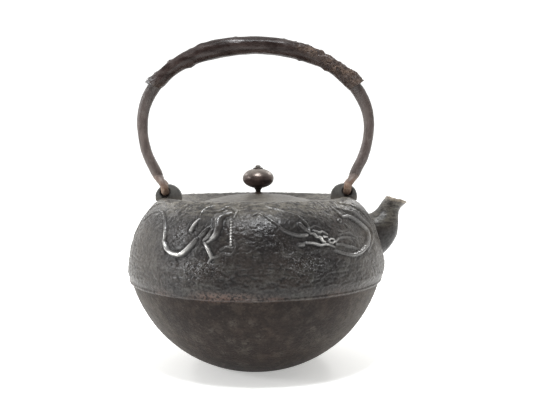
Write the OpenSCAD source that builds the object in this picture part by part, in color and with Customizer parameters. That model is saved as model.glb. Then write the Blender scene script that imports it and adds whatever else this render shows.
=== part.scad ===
// Cast iron kettle with a loose lid, a riveted hollow knob and a forged bail handle that
// swings on two hooks. Origin: centre of the flat base, on the bowl's axis.
// +X points to the spout, +Z points up. Millimetres.

/* [Bowl] */
// Largest radius of the bowl, just above the seam
bowl_r = 82.5; // [81:0.5:84]
// Height of the largest radius
widest_z = 62; // [61:0.5:64]
// Radius of the seam's edge on the lower bowl
seam_r = 80.1; // [79.5:0.1:80.3]
// Height of the seam between the lower bowl and the upper shell
seam_z = 55; // [54:0.5:56]
// Radius of the flat base
base_r = 29; // [26:0.5:32]
// Thickness of the cast wall
wall = 3.2; // [2.8:0.1:3.6]
// Radius of curvature of the lower bowl, from base to seam
bowl_curve = 81.8; // [78:0.2:90]
// Radius of curvature of the upper wall
wall_curve = 92.6; // [85:0.2:110]
// Radius of curvature of the shoulder
shoulder_curve = 30; // [28:0.5:34]
// Radius of the ridge that rings the sunken top
crest_r = 58.5; // [57.5:0.1:59]
// Height of that ridge
crest_z = 107.5; // [107:0.1:107.6]
// Slope of the sunken top inside the ridge, in degrees
dish_slope = 24; // [20:1:26]

/* [Mouth and lid] */
// Offset of the mouth, lid and knob from the bowl's axis, towards the spout
mouth_shift = 1.8; // [0:0.1:2]
// Radius of the mouth
mouth_r = 38.6; // [37:0.1:39]
// Radius of the seat that the lid drops into
seat_r = 42.9; // [42.5:0.1:43.1]
// Height of the seat
seat_z = 99.7; // [99:0.1:100]
// Height of the lid's middle, without its boss
lid_top_z = 109.6; // [108:0.1:110]
// Thickness of the lid
lid_t = 2.8; // [2.4:0.1:3]
// Depth of the rim under the lid that keeps it in the mouth
lid_rim_h = 4.8; // [3:0.1:6]

/* [Knob] */
// Radius of the hollow bead
knob_r = 10.15; // [9:0.05:11]
// Half of the bead's height
knob_half_h = 6.5; // [5.8:0.1:6.8]
// Height of the bead's middle
knob_z = 119.5; // [119.5:0.1:121]
// Thickness of the bead's metal
knob_wall = 1.3; // [1:0.1:1.6]
// Radius of the rivet that the knob turns on
pin_r = 1.3; // [1.1:0.05:1.4]

/* [Lugs] */
// Offset of the lugs and the handle from the bowl's axis, towards the spout
bail_shift = 0.5; // [0:0.1:1]
// Distance from the handle's middle to each lug's centre
lug_x = 57.2; // [57:0.1:57.4]
// Height of each lug's centre
lug_z = 107.4; // [107.2:0.1:107.6]
// Radius of each lug
lug_r = 8.6; // [8.5:0.1:8.8]
// Thickness of each lug
lug_t = 3.4; // [3:0.1:3.6]
// Height of each lug's flat foot, sunk into the shoulder
lug_foot_z = 105; // [104.8:0.1:105.4]
// Distance from the handle's middle to the centre of each lug's hole
hole_x = 59.2; // [59.1:0.1:59.3]
// Height of each hole's centre
hole_z = 110.7; // [110.6:0.1:110.8]
// Radius of each hole
hole_r = 2.8; // [2.8:0.05:2.9]
// Width of the worn bevel on the edges of each hole
hole_bevel = 0.8; // [0.6:0.1:0.9]

/* [Handle] */
// Distance from the handle's middle to the centre of each hook ring
hook_x = 59.2; // [59.1:0.1:59.3]
// Height of the hook rings' centres, on the axis that the handle swings about
hook_z = 115.4; // [115.3:0.1:115.5]
// Radius of the middle of each hook's wire
hook_r = 5; // [4.9:0.05:5.1]
// Half-width of each hook's wire where it passes through the lug
hook_half_w = 2.35; // [2:0.05:2.35]
// Half-thickness of each hook's wire at the same place
hook_half_t = 2; // [1.6:0.05:2]
// Lean of the top of each hook, where the leg runs into it, in degrees
hook_top_lean = 40; // [36:1:40]
// Angle round each hook, from its top, where that lean begins
hook_lean_start = 97; // [90:1:97]
// Lean of the lower legs
lean = 24; // [23:0.5:25]
// Half of the handle's width at its widest
bow_half_w = 73.6; // [72:0.2:75]
// Height of the handle's widest place
bow_z = 153.5; // [152:0.5:155]
// Rise of the bow from its widest place to its top, on its centre line
bow_h = 51.7; // [49:0.1:54]
// How far the left shoulder of the bow bulges outwards
left_swell = 1.6; // [0:0.1:2]
// Radius of the bend between a leg's straight and the bow
leg_curve = 55; // [50:1:60]
// Angle along the bow where the grip's sleeve begins
sleeve_start = 29; // [27:1:31]
// Length of the angle that each leg's tang reaches into the sleeve
tang_span = 11; // [9:1:13]

/* [Spout] */
// Thickness of the spout's wall
spout_wall = 2.3; // [2.2:0.1:2.6]
// Radius of the water hole through the bowl's wall
water_hole_r = 8.6; // [7.5:0.1:9]
// Slope of the water hole, in degrees
water_slope = 32; // [30:1:35]
// Height of the water hole where it crosses the bowl's wall
water_z = 84; // [83:0.5:85]

/* [Hidden] */
$fn = 96;
cast_iron = [0.23, 0.21, 0.20];
lug_iron = [0.30, 0.30, 0.28];
forged_iron = [0.24, 0.19, 0.17];
bronze = [0.27, 0.17, 0.14];

// Outline helpers. A point is [radius, height]; an arc bulges away from the axis.
function arc_centre(p, q, r) =
    let (d = q - p, h = sqrt(r * r - d * d / 4))
    (p + q) / 2 + h * [-d[1], d[0]] / norm(d);
function angle_at(c, p) = atan2(p[1] - c[1], p[0] - c[0]);
function arc(c, r, a0, a1, n) =
    [for (i = [0:n]) let (a = a0 + (a1 - a0) * i / n) c + r * [cos(a), sin(a)]];

base_edge = [base_r, 0];
seam_edge = [seam_r, seam_z];
widest = [bowl_r, widest_z];
shoulder_foot = [77.4, 87];
crest_round = 8.6;
crest_join = 60;
crest_c = [crest_r, crest_z - crest_round];
crest_edge = crest_c + crest_round * [cos(crest_join), sin(crest_join)];
bowl_c = arc_centre(base_edge, seam_edge, bowl_curve);
wall_c = arc_centre(widest, shoulder_foot, wall_curve);
shoulder_c = arc_centre(shoulder_foot, crest_edge, shoulder_curve);
// The sunken top falls at dish_slope from the ridge to dish_r, then lies flat
dish_r = 46;
dish_start = crest_c + crest_round * [cos(90 + dish_slope), sin(90 + dish_slope)];
dish_z = dish_start[1] - (dish_start[0] - dish_r) * tan(dish_slope);
inner_dish_z = dish_z - wall / cos(dish_slope);
collar_z = seat_z - 3.1;
floor_t = 3.6;

// Lower part of the skin, t deeper than the outer face, starting where it meets height z0
function lower_skin(t, z0) =
    arc(bowl_c, bowl_curve - t, asin((z0 - bowl_c[1]) / (bowl_curve - t)), angle_at(bowl_c, seam_edge), 16);
function upper_skin(t) = concat(
    arc(wall_c, wall_curve - t, angle_at(wall_c, widest), angle_at(wall_c, shoulder_foot), 8),
    arc(shoulder_c, shoulder_curve - t, angle_at(shoulder_c, shoulder_foot),
        angle_at(shoulder_c, crest_edge), 8),
    arc(crest_c, crest_round - t, crest_join, 90 + dish_slope, 10));
// The upper shell overhangs the lower bowl at the seam, with a thin raised line
seam_lip = [seam_edge + [1.2, 0.1], seam_edge + [1.3, 0.9], seam_edge + [1.3, 1.7],
            seam_edge + [2.2, 4.4]];

module outer_form() {
    rotate_extrude() polygon(concat([[0, 0]], lower_skin(0, 0), seam_lip, upper_skin(0),
        [[dish_r, dish_z], [0, dish_z]]));
}
module inner_form() {
    rotate_extrude() polygon(concat([[0, floor_t]], lower_skin(wall, floor_t), upper_skin(wall),
        [[dish_r, inner_dish_z], [dish_r, collar_z], [0, collar_z]]));
}

module upright_rod(x, r, z0, z1) { translate([x, 0, z0]) cylinder(r = r, h = z1 - z0); }
// Half-disc plate that each lug is cut from, side is -1 on the left and 1 on the right
module lug_plate(side) {
    intersection() {
        translate([bail_shift + side * lug_x, lug_t / 2, lug_z]) rotate([90, 0, 0])
            cylinder(r = lug_r, h = lug_t);
        translate([bail_shift + side * lug_x - 15, -15, lug_foot_z]) cube([30, 30, 30]);
    }
}
// Round passage through the bowl's wall into the spout
module water_passage() {
    translate([skin_r_at_water, 0, water_z]) rotate([0, 90 - water_slope, 0])
        translate([0, 0, -14]) cylinder(r = water_hole_r, h = 15);
}
skin_r_at_water = wall_c[0] + sqrt(wall_curve * wall_curve - pow(water_z - wall_c[1], 2));

module kettle_body() {
    color(cast_iron) difference() {
        outer_form();
        inner_form();
        upright_rod(mouth_shift, mouth_r, collar_z - 1, dish_z + 1);
        upright_rod(mouth_shift, seat_r, seat_z, dish_z + 1);
        water_passage();
        for (side = [-1, 1]) lug_plate(side);
    }
}

module lug(side) {
    color(lug_iron) difference() {
        lug_plate(side);
        translate([bail_shift + side * hole_x, 0, hole_z]) rotate([90, 0, 0]) {
            cylinder(r = hole_r, h = 2 * lug_t, center = true);
            for (face = [-1, 1]) scale([1, 1, face]) translate([0, 0, lug_t / 2 - hole_bevel])
                cylinder(r1 = hole_r, r2 = hole_r + 2 * hole_bevel, h = 2 * hole_bevel);
        }
    }
}
module lug_left() { lug(-1); }
module lug_right() { lug(1); }

// Lofts. A station is [x, z, angle of the in-plane half-width, in-plane half-width, half-depth in Y].
loft_sides = 20;
function ring(s, n = loft_sides) = [for (j = [0:n - 1]) let (a = 360 * j / n)
    [s[0] + s[3] * cos(a) * cos(s[2]), s[4] * sin(a), s[1] + s[3] * cos(a) * sin(s[2])]];
// Closed skin over rings of points that go round against the clock as seen from the far end
module skinned(rings) {
    m = len(rings);
    n = len(rings[0]);
    polyhedron(
        points = [for (r = rings) each r],
        faces = concat(
            [[for (j = [0:n - 1]) j]],
            [[for (j = [n - 1:-1:0]) (m - 1) * n + j]],
            [for (i = [0:m - 2], j = [0:n - 1]) let (k = (j + 1) % n)
                [i * n + j, (i + 1) * n + j, (i + 1) * n + k, i * n + k]]));
}
module loft(stations, n = loft_sides) { skinned([for (s = stations) ring(s, n)]); }
// Catmull-Rom curve through the stations, with k steps between each pair
function smooth(p, k) = let (m = len(p) - 1) concat([for (i = [0:m - 1], j = [0:k - 1])
    let (t = j / k, a = p[max(i - 1, 0)], b = p[i], c = p[i + 1], d = p[min(i + 2, m)])
    0.5 * (2 * b + (c - a) * t + (2 * a - 5 * b + 4 * c - d) * t * t
        + (3 * b - a - 3 * c + d) * t * t * t)], [p[m]]);

// Spout stations, from inside the bowl's wall, over the belly and the waist, to the flared lip
spout_stations = [
    [75.0, 80.0, -58, 13.6, 11.5],
    [80.4, 84.3, -54, 12.8, 11.0],
    [84.6, 89.3, -45, 11.0, 9.8],
    [86.4, 94.2, -35, 8.5, 8.2],
    [87.5, 98.6, -27, 6.8, 6.9],
    [89.2, 102.2, -23, 6.4, 6.5],
    [91.9, 105.3, -13, 7.2, 6.9]];
function hollowed(s, t) = [s[0], s[1], s[2], s[3] - t, s[4] - t];
bore_stations = [for (s = spout_stations) hollowed(s, spout_wall)];
// The bore starts as the round water hole and runs on past the lip
bore_run_on = [[72.6, 78.3, -58, water_hole_r, water_hole_r]];
bore_past_lip = [[92.6, 108.3, -13, 6.0, 5.6]];

module spout() {
    color(cast_iron) difference() {
        loft(smooth(spout_stations, 3));
        loft(smooth(concat(bore_run_on, bore_stations, bore_past_lip), 3));
        outer_form();
    }
}

// Lid: a shallow dome with a rim below it and a boss for the rivet
lid_edge_r = seat_r - 0.9;
lid_edge_z = seat_z + lid_t - 0.2;
lid_rise = lid_top_z - lid_edge_z;
lid_curve = (lid_edge_r * lid_edge_r + lid_rise * lid_rise) / (2 * lid_rise);
lid_c = [0, lid_top_z - lid_curve];
lid_edge_angle = acos(lid_edge_r / lid_curve);
lid_inner_r = mouth_r - 3.2;
lid_inner_angle = acos(lid_inner_r / (lid_curve - lid_t));
boss_z = lid_top_z + 1.1;
pad_z = lid_top_z - lid_t - 0.2;
washer_z = pad_z - 1.2;
module at_mouth() { translate([mouth_shift, 0, 0]) children(); }

module lid() {
    color(cast_iron) at_mouth() difference() {
        union() {
            rotate_extrude() polygon(concat(
                arc(lid_c, lid_curve, lid_edge_angle, 90, 12),
                arc(lid_c, lid_curve - lid_t, 90, lid_inner_angle, 12),
                [[lid_inner_r, seat_z - lid_rim_h], [mouth_r - 0.7, seat_z - lid_rim_h],
                 [mouth_r - 0.7, seat_z], [lid_edge_r, seat_z]]));
            translate([0, 0, lid_top_z - 1]) cylinder(r1 = 3.6, r2 = 1.9, h = boss_z - lid_top_z + 1);
        }
        translate([0, 0, pad_z - 1]) cylinder(r = 6.5, h = 1);
        cylinder(r = pin_r, h = boss_z + 1);
    }
}
module lid_washer() {
    color(forged_iron) at_mouth() difference() {
        translate([0, 0, washer_z]) cylinder(r = 5.5, h = pad_z - washer_z);
        cylinder(r = pin_r, h = boss_z);
    }
}

// Knob: the bead, its neck and its cap turn together on the rivet
turn_gap = 0.15;
knob_bore_r = pin_r + 0.1;
bead_low_z = knob_z - knob_half_h + 0.1;
bead_high_z = knob_z + knob_half_h - 0.1;
neck_z = boss_z + turn_gap;
cap_top_z = bead_high_z + 0.8;
rivet_z = cap_top_z + turn_gap;
function oval(a, b, n) = [for (i = [0:n]) let (t = -90 + 180 * i / n) [a * cos(t), b * sin(t)]];
module knob_bore() { translate([0, 0, boss_z]) cylinder(r = knob_bore_r, h = 20); }

module knob_bead() {
    color(bronze) at_mouth() difference() {
        translate([0, 0, knob_z]) rotate_extrude() intersection() {
            polygon(oval(knob_r, knob_half_h, 24));
            translate([0, bead_low_z - knob_z]) square([2 * knob_r, bead_high_z - bead_low_z]);
        }
        translate([0, 0, knob_z]) rotate_extrude()
            polygon(oval(knob_r - knob_wall, knob_half_h - knob_wall, 20));
        knob_bore();
    }
}
module knob_neck() {
    color(bronze * 0.6) at_mouth() difference() {
        rotate_extrude() polygon([[0, neck_z], [1.7, neck_z], [1.75, neck_z + 0.9],
            [2.35, neck_z + 2], [2.4, bead_low_z], [0, bead_low_z]]);
        knob_bore();
    }
}
petals = 6;
module knob_cap() {
    color(bronze * 0.6) at_mouth() difference() {
        translate([0, 0, bead_high_z]) {
            cylinder(r = 2.3, h = cap_top_z - bead_high_z);
            for (i = [0:petals - 1]) rotate([0, 0, i * 360 / petals])
                translate([2.1, 0, 0]) cylinder(r = 1.1, h = 0.6);
        }
        knob_bore();
    }
}
// Rivet, peened under the washer and over the cap
module knob_pin() {
    color(forged_iron) at_mouth() {
        upright_rod(0, pin_r, washer_z - 0.5, rivet_z + 0.5);
        rotate_extrude() polygon([[0, washer_z - 1.2], [1.7, washer_z - 1.1], [2.4, washer_z - 0.5],
            [2.4, washer_z], [0, washer_z]]);
        rotate_extrude() polygon([[0, rivet_z], [1.9, rivet_z], [1.9, rivet_z + 0.4],
            [1.3, rivet_z + 1], [0, rivet_z + 1.3]]);
    }
}

// Hook: a ring of wire, p degrees round from its top over the front. Its upper half leans outwards.
function hook_offset(p) = hook_r * tan(hook_top_lean)
    * max(0, cos(p) - cos(hook_lean_start)) / (1 - cos(hook_lean_start));
function hook_w(p) = hook_half_w * lookup(p, [[0, 1.36], [50, 1.22], [110, 1.02], [200, 1], [305, 0.9]]);
function hook_t(p) = hook_half_t * lookup(p, [[0, 0.95], [60, 0.95], [110, 1], [200, 1], [305, 0.8]]);
hook_sides = 16;
function hook_ring(p) = [for (j = [0:hook_sides - 1])
    let (a = 360 * j / hook_sides, r = hook_r + hook_t(p) * cos(a), side = -hook_w(p) * sin(a))
    [hook_x + hook_offset(p) + side, -r * sin(p), hook_z + r * cos(p)]];
hook_end = 305;
hook_step = hook_end / 24;

// Handle centre line, from the right-hand end over the top to the left
hook_top = [hook_x + hook_offset(0), hook_z + hook_r];
leg_bend_c = [bow_half_w - leg_curve, bow_z];
leg_bend_start = leg_bend_c + leg_curve * [cos(lean), -sin(lean)];
swell_start = 95;
swell_end = 178;
function swell(t) = t < swell_start || t > swell_end ? 0
    : left_swell * sin(180 * (t - swell_start) / (swell_end - swell_start));
function bow_angle(t) = atan2(sin(t) / bow_h, cos(t) / bow_half_w);
function on_bow(t) = [bow_half_w * cos(t), bow_z + bow_h * sin(t)]
    + swell(t) * [cos(bow_angle(t)), sin(bow_angle(t))];
// The same for the leg on one side, the left one mirrored over to the right
function on_side(t, side) = side > 0 ? on_bow(t) : let (p = on_bow(180 - t)) [-p[0], p[1]];
// Half-thicknesses along the handle: legs by height, sleeve by distance from the middle
function leg_half(z) = lookup(z, [[119, 3.4], [125, 3.5], [145, 3.3], [162, 3.7], [170, 4.0], [178, 4.2]]);
function sleeve_half(x) = lookup(abs(x), [[0, 5.7], [36, 5.7], [44, 5.0], [52, 4.9], [60, 5.4], [70, 5.5]]);
function bore_half(x) = lookup(abs(x), [[0, 4.5], [36, 4.4], [44, 3.9], [52, 3.9], [58, 4.2], [70, 4.2]]);
function leg_station(p, a) = [p[0], p[1], a, leg_half(p[1]), 0.86 * leg_half(p[1])];
function sleeve_station(t) = let (p = on_bow(t), h = sleeve_half(p[0])) [p[0], p[1], bow_angle(t), h, h];
function bore_at(p, t) = let (h = bore_half(p[0])) [p[0], p[1], bow_angle(t), h, h];
sleeve_steps = 30;
sleeve_step = (180 - 2 * sleeve_start) / sleeve_steps;
tang_steps = round(tang_span / sleeve_step);

module handle_grip() {
    color(forged_iron) translate([bail_shift, 0, 0]) difference() {
        loft([for (i = [0:sleeve_steps]) sleeve_station(sleeve_start + i * sleeve_step)]);
        loft([for (i = [-1:sleeve_steps + 1]) let (t = sleeve_start + i * sleeve_step)
            bore_at(on_bow(t), t)]);
    }
}
module hook() { skinned([for (p = [0:hook_step:hook_end]) hook_ring(p)]); }
module handle_leg(side) {
    color(forged_iron) {
        loft(concat(
            [[hook_top[0], hook_top[1], -lean, 3.1, 1.8]],
            [for (t = [0.25, 0.6, 1])
                leg_station(hook_top + t * (leg_bend_start - hook_top), -lean)],
            [for (i = [1:5]) let (a = -lean * (1 - i / 6))
                leg_station(leg_bend_c + leg_curve * [cos(a), sin(a)], a)],
            [for (i = [0:5]) let (t = sleeve_start * i / 6) leg_station(on_side(t, side), bow_angle(t))],
            [for (i = [0:tang_steps]) let (t = sleeve_start + i * sleeve_step)
                bore_at(on_side(t, side), t)]));
        hook();
    }
}
module handle_leg_right() { translate([bail_shift, 0, 0]) handle_leg(1); }
module handle_leg_left() { translate([bail_shift, 0, 0]) mirror([1, 0, 0]) handle_leg(-1); }

kettle_body();
spout();
lug_left();
lug_right();
lid();
lid_washer();
knob_pin();
knob_bead();
knob_neck();
knob_cap();
handle_grip();
handle_leg_left();
handle_leg_right();
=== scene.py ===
"""Looks of the cast iron kettle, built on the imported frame: cast relief, forged handle, bronze knob.

Lengths are millimetres until a mesh is made. An azimuth on the bowl is in degrees from the front (-Y)
towards the spout (+X), so the spout is at 90 and the back at 180.
"""

from math import radians

import bpy
import numpy as np
from mathutils import Matrix, Vector


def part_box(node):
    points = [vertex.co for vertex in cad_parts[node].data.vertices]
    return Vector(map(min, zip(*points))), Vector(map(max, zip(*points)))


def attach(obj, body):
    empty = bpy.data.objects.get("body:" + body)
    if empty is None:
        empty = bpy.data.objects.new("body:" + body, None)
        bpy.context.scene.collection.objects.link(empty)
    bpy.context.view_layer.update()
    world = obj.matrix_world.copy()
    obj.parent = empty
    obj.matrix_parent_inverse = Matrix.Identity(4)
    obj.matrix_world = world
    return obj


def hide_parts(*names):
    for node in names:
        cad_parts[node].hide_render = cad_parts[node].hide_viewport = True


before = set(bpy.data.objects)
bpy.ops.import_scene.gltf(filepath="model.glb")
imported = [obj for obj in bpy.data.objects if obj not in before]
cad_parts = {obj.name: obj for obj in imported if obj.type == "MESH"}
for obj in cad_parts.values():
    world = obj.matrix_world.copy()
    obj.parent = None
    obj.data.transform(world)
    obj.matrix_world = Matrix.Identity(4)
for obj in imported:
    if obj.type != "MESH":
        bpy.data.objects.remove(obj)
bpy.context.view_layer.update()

MM = 0.001
LATTICE = np.random.default_rng(11)
GRADIENTS = LATTICE.normal(size=(256, 3))
GRADIENTS /= np.linalg.norm(GRADIENTS, axis=1)[:, None]
ORDER = LATTICE.permutation(256)


# ---------------------------------------------------------------- number helpers


def cad_box(node):
    """Lowest and highest corner of a CAD node, in mm."""
    low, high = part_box(node)
    return np.array(low) / MM, np.array(high) / MM


def smoothstep(x, low, high):
    """0 up to low, 1 from high on, and a smooth rise between."""
    t = np.clip((np.asarray(x, float) - low) / (high - low), 0, 1)
    return t * t * (3 - 2 * t)


def noise(points, size, seed=0):
    """Smooth noise from about -1 to 1. size is that of its features, one number or one per axis."""
    q = points / np.asarray(size, float) + 37.7 * seed
    cell = np.floor(q).astype(int)
    f = q - cell
    fade = f**3 * (f * (6 * f - 15) + 10)
    total = np.zeros(len(points))
    for corner in np.ndindex(2, 2, 2):
        at = cell + np.array(corner)
        key = ORDER[(ORDER[(ORDER[at[:, 0] & 255] + at[:, 1]) & 255] + at[:, 2]) & 255]
        weight = np.prod(np.where(corner, fade, 1 - fade), axis=1)
        total += weight * np.einsum("ij,ij->i", GRADIENTS[key], f - np.array(corner))
    return 1.7 * total


def layered(points, size, seed=0, layers=3):
    """Noise with finer noise added to it."""
    size = np.asarray(size, float)
    return sum(0.5**k * noise(points, size / 2.1**k, seed + k) for k in range(layers))


def crinkle(points, size, seed=0):
    """Noise with narrow creases, from -1 in a crease to 1."""
    return 1 - 2 * np.abs(1 - 2.2 * np.abs(noise(points, size, seed))).clip(0, 1)


def curve_through(points, steps):
    """Catmull-Rom curve through the points, with that many steps between each pair."""
    p = np.array(points, float)
    last = len(p) - 1
    t = (np.arange(steps) / steps)[:, None]
    out = []
    for i in range(last):
        a, b, c, d = p[max(i - 1, 0)], p[i], p[i + 1], p[min(i + 2, last)]
        bend = 2 * b + (c - a) * t + (2 * a - 5 * b + 4 * c - d) * t**2
        out.append(0.5 * (bend + (3 * b - a - 3 * c + d) * t**3))
    return np.vstack([*out, p[last]])


def spread_over(values, count):
    """The values at even places along count samples, with straight lines between them."""
    return np.interp(np.linspace(0, 1, count), np.linspace(0, 1, len(values)), values)


def normals_of(grid, close_rows=False):
    """Unit normals of a grid of points whose rows close on themselves."""
    along = np.roll(grid, -1, 1) - np.roll(grid, 1, 1)
    if close_rows:
        across = np.roll(grid, -1, 0) - np.roll(grid, 1, 0)
    else:
        across = np.gradient(grid, axis=0)
    n = np.cross(along, across)
    return n / np.maximum(np.linalg.norm(n, axis=2), 1e-9)[:, :, None]


def listed(grid):
    """The points of a grid and their normals, one after another."""
    return grid.reshape(-1, 3), normals_of(grid).reshape(-1, 3)


# ---------------------------------------------------------------- meshes


def grid_quads(rows, columns, close_rows=False):
    """Quads over rows of points that each close on themselves."""
    i = np.arange(rows if close_rows else rows - 1)[:, None]
    j = np.arange(columns)[None, :]
    next_i, next_j = (i + 1) % rows, (j + 1) % columns
    corners = [i * columns + j, i * columns + next_j, next_i * columns + next_j, next_i * columns + j]
    return np.stack(np.broadcast_arrays(*corners), -1).reshape(-1, 4)


def joined(*parts):
    """Several (points, quads) as one."""
    points, quads, start = [], [], 0
    for p, q in parts:
        points.append(p.reshape(-1, 3))
        quads.append(q + start)
        start += len(points[-1])
    return np.vstack(points), np.vstack(quads)


def facing_out(points, quads):
    """The quads, turned over if they face into the solid."""
    a, b, c = (points[quads[:, k]] for k in range(3))
    volume = np.einsum("ij,ij->", a, np.cross(b, c))
    return quads if volume > 0 else quads[:, ::-1]


def mesh_of(name, points, quads):
    """A mesh of points in mm."""
    mesh = bpy.data.meshes.new(name)
    mesh.vertices.add(len(points))
    mesh.vertices.foreach_set("co", (points * MM).astype(np.float32).ravel())
    mesh.loops.add(quads.size)
    mesh.loops.foreach_set("vertex_index", quads.astype(np.int32).ravel())
    mesh.polygons.add(len(quads))
    mesh.polygons.foreach_set("loop_start", np.arange(0, quads.size, 4, dtype=np.int32))
    mesh.update(calc_edges=True)
    return mesh


def mesh_of_grid(name, grid, skin):
    """A mesh of a grid's quads, facing out, with its points moved to skin."""
    return mesh_of(name, skin, facing_out(skin, grid_quads(*grid.shape[:2])))


def vectors(items, field):
    """One vector from each of a mesh's items."""
    values = np.zeros(3 * len(items), np.float32)
    items.foreach_get(field, values)
    return values.reshape(-1, 3).astype(float)


def points_of(mesh):
    """A mesh's points in mm."""
    return vectors(mesh.vertices, "co") / MM


def softened(node, grain, passes):
    """A copy of a CAD node in small even faces of that size, with its edges rounded."""
    work = bpy.data.objects.new("work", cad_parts[node].data.copy())
    bpy.context.scene.collection.objects.link(work)
    even = work.modifiers.new("even", "REMESH")
    even.mode = "VOXEL"
    even.voxel_size = grain * MM
    rounding = work.modifiers.new("rounding", "SMOOTH")
    rounding.iterations = passes
    graph = bpy.context.evaluated_depsgraph_get()
    mesh = bpy.data.meshes.new_from_object(work.evaluated_get(graph))
    bpy.data.objects.remove(work)
    mesh.materials.clear()
    return mesh


def push(mesh, amount):
    """Moves each point of a mesh along its normal by that many mm."""
    moved = points_of(mesh) + vectors(mesh.vertex_normals, "vector") * amount[:, None]
    mesh.vertices.foreach_set("co", (moved * MM).astype(np.float32).ravel())
    mesh.update()


def show(name, mesh, marks, look, body, slot, node):
    """Shows a mesh that rides on a body and stands for a CAD node. Marks are its look's values per point."""
    for mark, values in marks.items():
        mesh.attributes.new(mark, "FLOAT", "POINT").data.foreach_set("value", values.astype(np.float32))
    mesh.shade_smooth()
    mesh.materials.append(look)
    obj = bpy.data.objects.new(name, mesh)
    bpy.context.scene.collection.objects.link(obj)
    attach(obj, body)
    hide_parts(node)


# ---------------------------------------------------------------- the bowl's outline


def arc_centre(p, q, radius):
    """Centre of the arc from p to q that bulges away from the axis."""
    p, q = np.array(p, float), np.array(q, float)
    d = q - p
    rise = np.sqrt(radius**2 - d @ d / 4)
    return (p + q) / 2 + rise * np.array([-d[1], d[0]]) / np.linalg.norm(d)


def arc(centre, radius, start, end, step):
    """Points along an arc, from one to another of its points or angles in degrees, about step apart."""
    if not np.isscalar(start):
        start = np.degrees(np.arctan2(start[1] - centre[1], start[0] - centre[0]))
    if not np.isscalar(end):
        end = np.degrees(np.arctan2(end[1] - centre[1], end[0] - centre[0]))
    count = max(2, round(abs(radians(end - start)) * radius / step))
    a = np.radians(np.linspace(start, end, count, endpoint=False))
    return centre + radius * np.stack([np.cos(a), np.sin(a)], 1)


def line(start, end, step):
    """Points along a straight line, about step apart, without its end."""
    start, end = np.array(start, float), np.array(end, float)
    count = max(1, round(np.linalg.norm(end - start) / step))
    return start + (end - start) * (np.arange(count) / count)[:, None]


bowl_high = cad_box("kettle_body")[1]
BOWL_R = bowl_high[0]
CREST_Z = bowl_high[2]
WALL = 3.2
BASE_EDGE = np.array([29.0, 0.0])
SEAM_EDGE = np.array([BOWL_R - 2.4, 55.0])
WIDEST = np.array([BOWL_R, 62.0])
SHOULDER_FOOT = np.array([BOWL_R - 5.1, 87.0])
CREST_ROUND = 8.6
CREST_C = np.array([58.5, CREST_Z - CREST_ROUND])
CREST_START_ANGLE, DISH_START_ANGLE = 60, 114
DISH_EDGE = np.array([46.0, 102.75])
BOWL_CURVE, WALL_CURVE, SHOULDER_CURVE = 81.8, 92.6, 30.0


def on_crest(degrees):
    """A point of the crest's rounding."""
    return CREST_C + CREST_ROUND * np.array([np.cos(radians(degrees)), np.sin(radians(degrees))])


CREST_EDGE = on_crest(CREST_START_ANGLE)
BOWL_C = arc_centre(BASE_EDGE, SEAM_EDGE, BOWL_CURVE)
WALL_C = arc_centre(WIDEST, SHOULDER_FOOT, WALL_CURVE)
SHOULDER_C = arc_centre(SHOULDER_FOOT, CREST_EDGE, SHOULDER_CURVE)
MOUTH_SHIFT = cad_box("lid")[0][0] / 2 + cad_box("lid")[1][0] / 2
MOUTH_R, SEAT_R, SEAT_Z = 38.6, 42.9, 99.7
COLLAR_Z = SEAT_Z - 3.1
FLOOR_Z = 3.6
# Between these radii the dish passes from the bowl's axis to the mouth's own
DISH_OUTER_R, DISH_INNER_R = 57, 46
FINE, COARSE = 0.45, 1.1
BASE_ROWS = 4


def outer_outline():
    """(radius, height) points from the base's middle over the outside to the mouth's lower edge."""
    lip = [SEAM_EDGE + [0.9, 0.0], SEAM_EDGE + [1.4, 0.5], SEAM_EDGE + [1.5, 1.2], SEAM_EDGE + [1.25, 2.0]]
    return np.vstack(
        [
            [[0.5, 0], [14, 0], [24, 0], [28, 0]],
            arc(BOWL_C, BOWL_CURVE, BASE_EDGE, SEAM_EDGE, COARSE),
            curve_through([SEAM_EDGE, *lip, SEAM_EDGE + [1.9, 4.4], WIDEST], 5)[:-1],
            arc(WALL_C, WALL_CURVE, WIDEST, SHOULDER_FOOT, FINE),
            arc(SHOULDER_C, SHOULDER_CURVE, SHOULDER_FOOT, CREST_EDGE, FINE),
            arc(CREST_C, CREST_ROUND, CREST_EDGE, DISH_START_ANGLE, FINE),
            line(on_crest(DISH_START_ANGLE), DISH_EDGE, 0.7),
            line(DISH_EDGE, [SEAT_R + 0.5, DISH_EDGE[1]], 0.8),
            [[SEAT_R + 0.15, DISH_EDGE[1] - 0.1], [SEAT_R, DISH_EDGE[1] - 0.5]],
            line([SEAT_R, DISH_EDGE[1] - 1.2], [SEAT_R, SEAT_Z + 0.2], 0.7),
            [[SEAT_R - 0.2, SEAT_Z], [MOUTH_R + 2, SEAT_Z], [MOUTH_R + 0.4, SEAT_Z]],
            [[MOUTH_R, SEAT_Z - 0.4], [MOUTH_R, COLLAR_Z + 0.4], [MOUTH_R + 0.4, COLLAR_Z]],
        ]
    )


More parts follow.
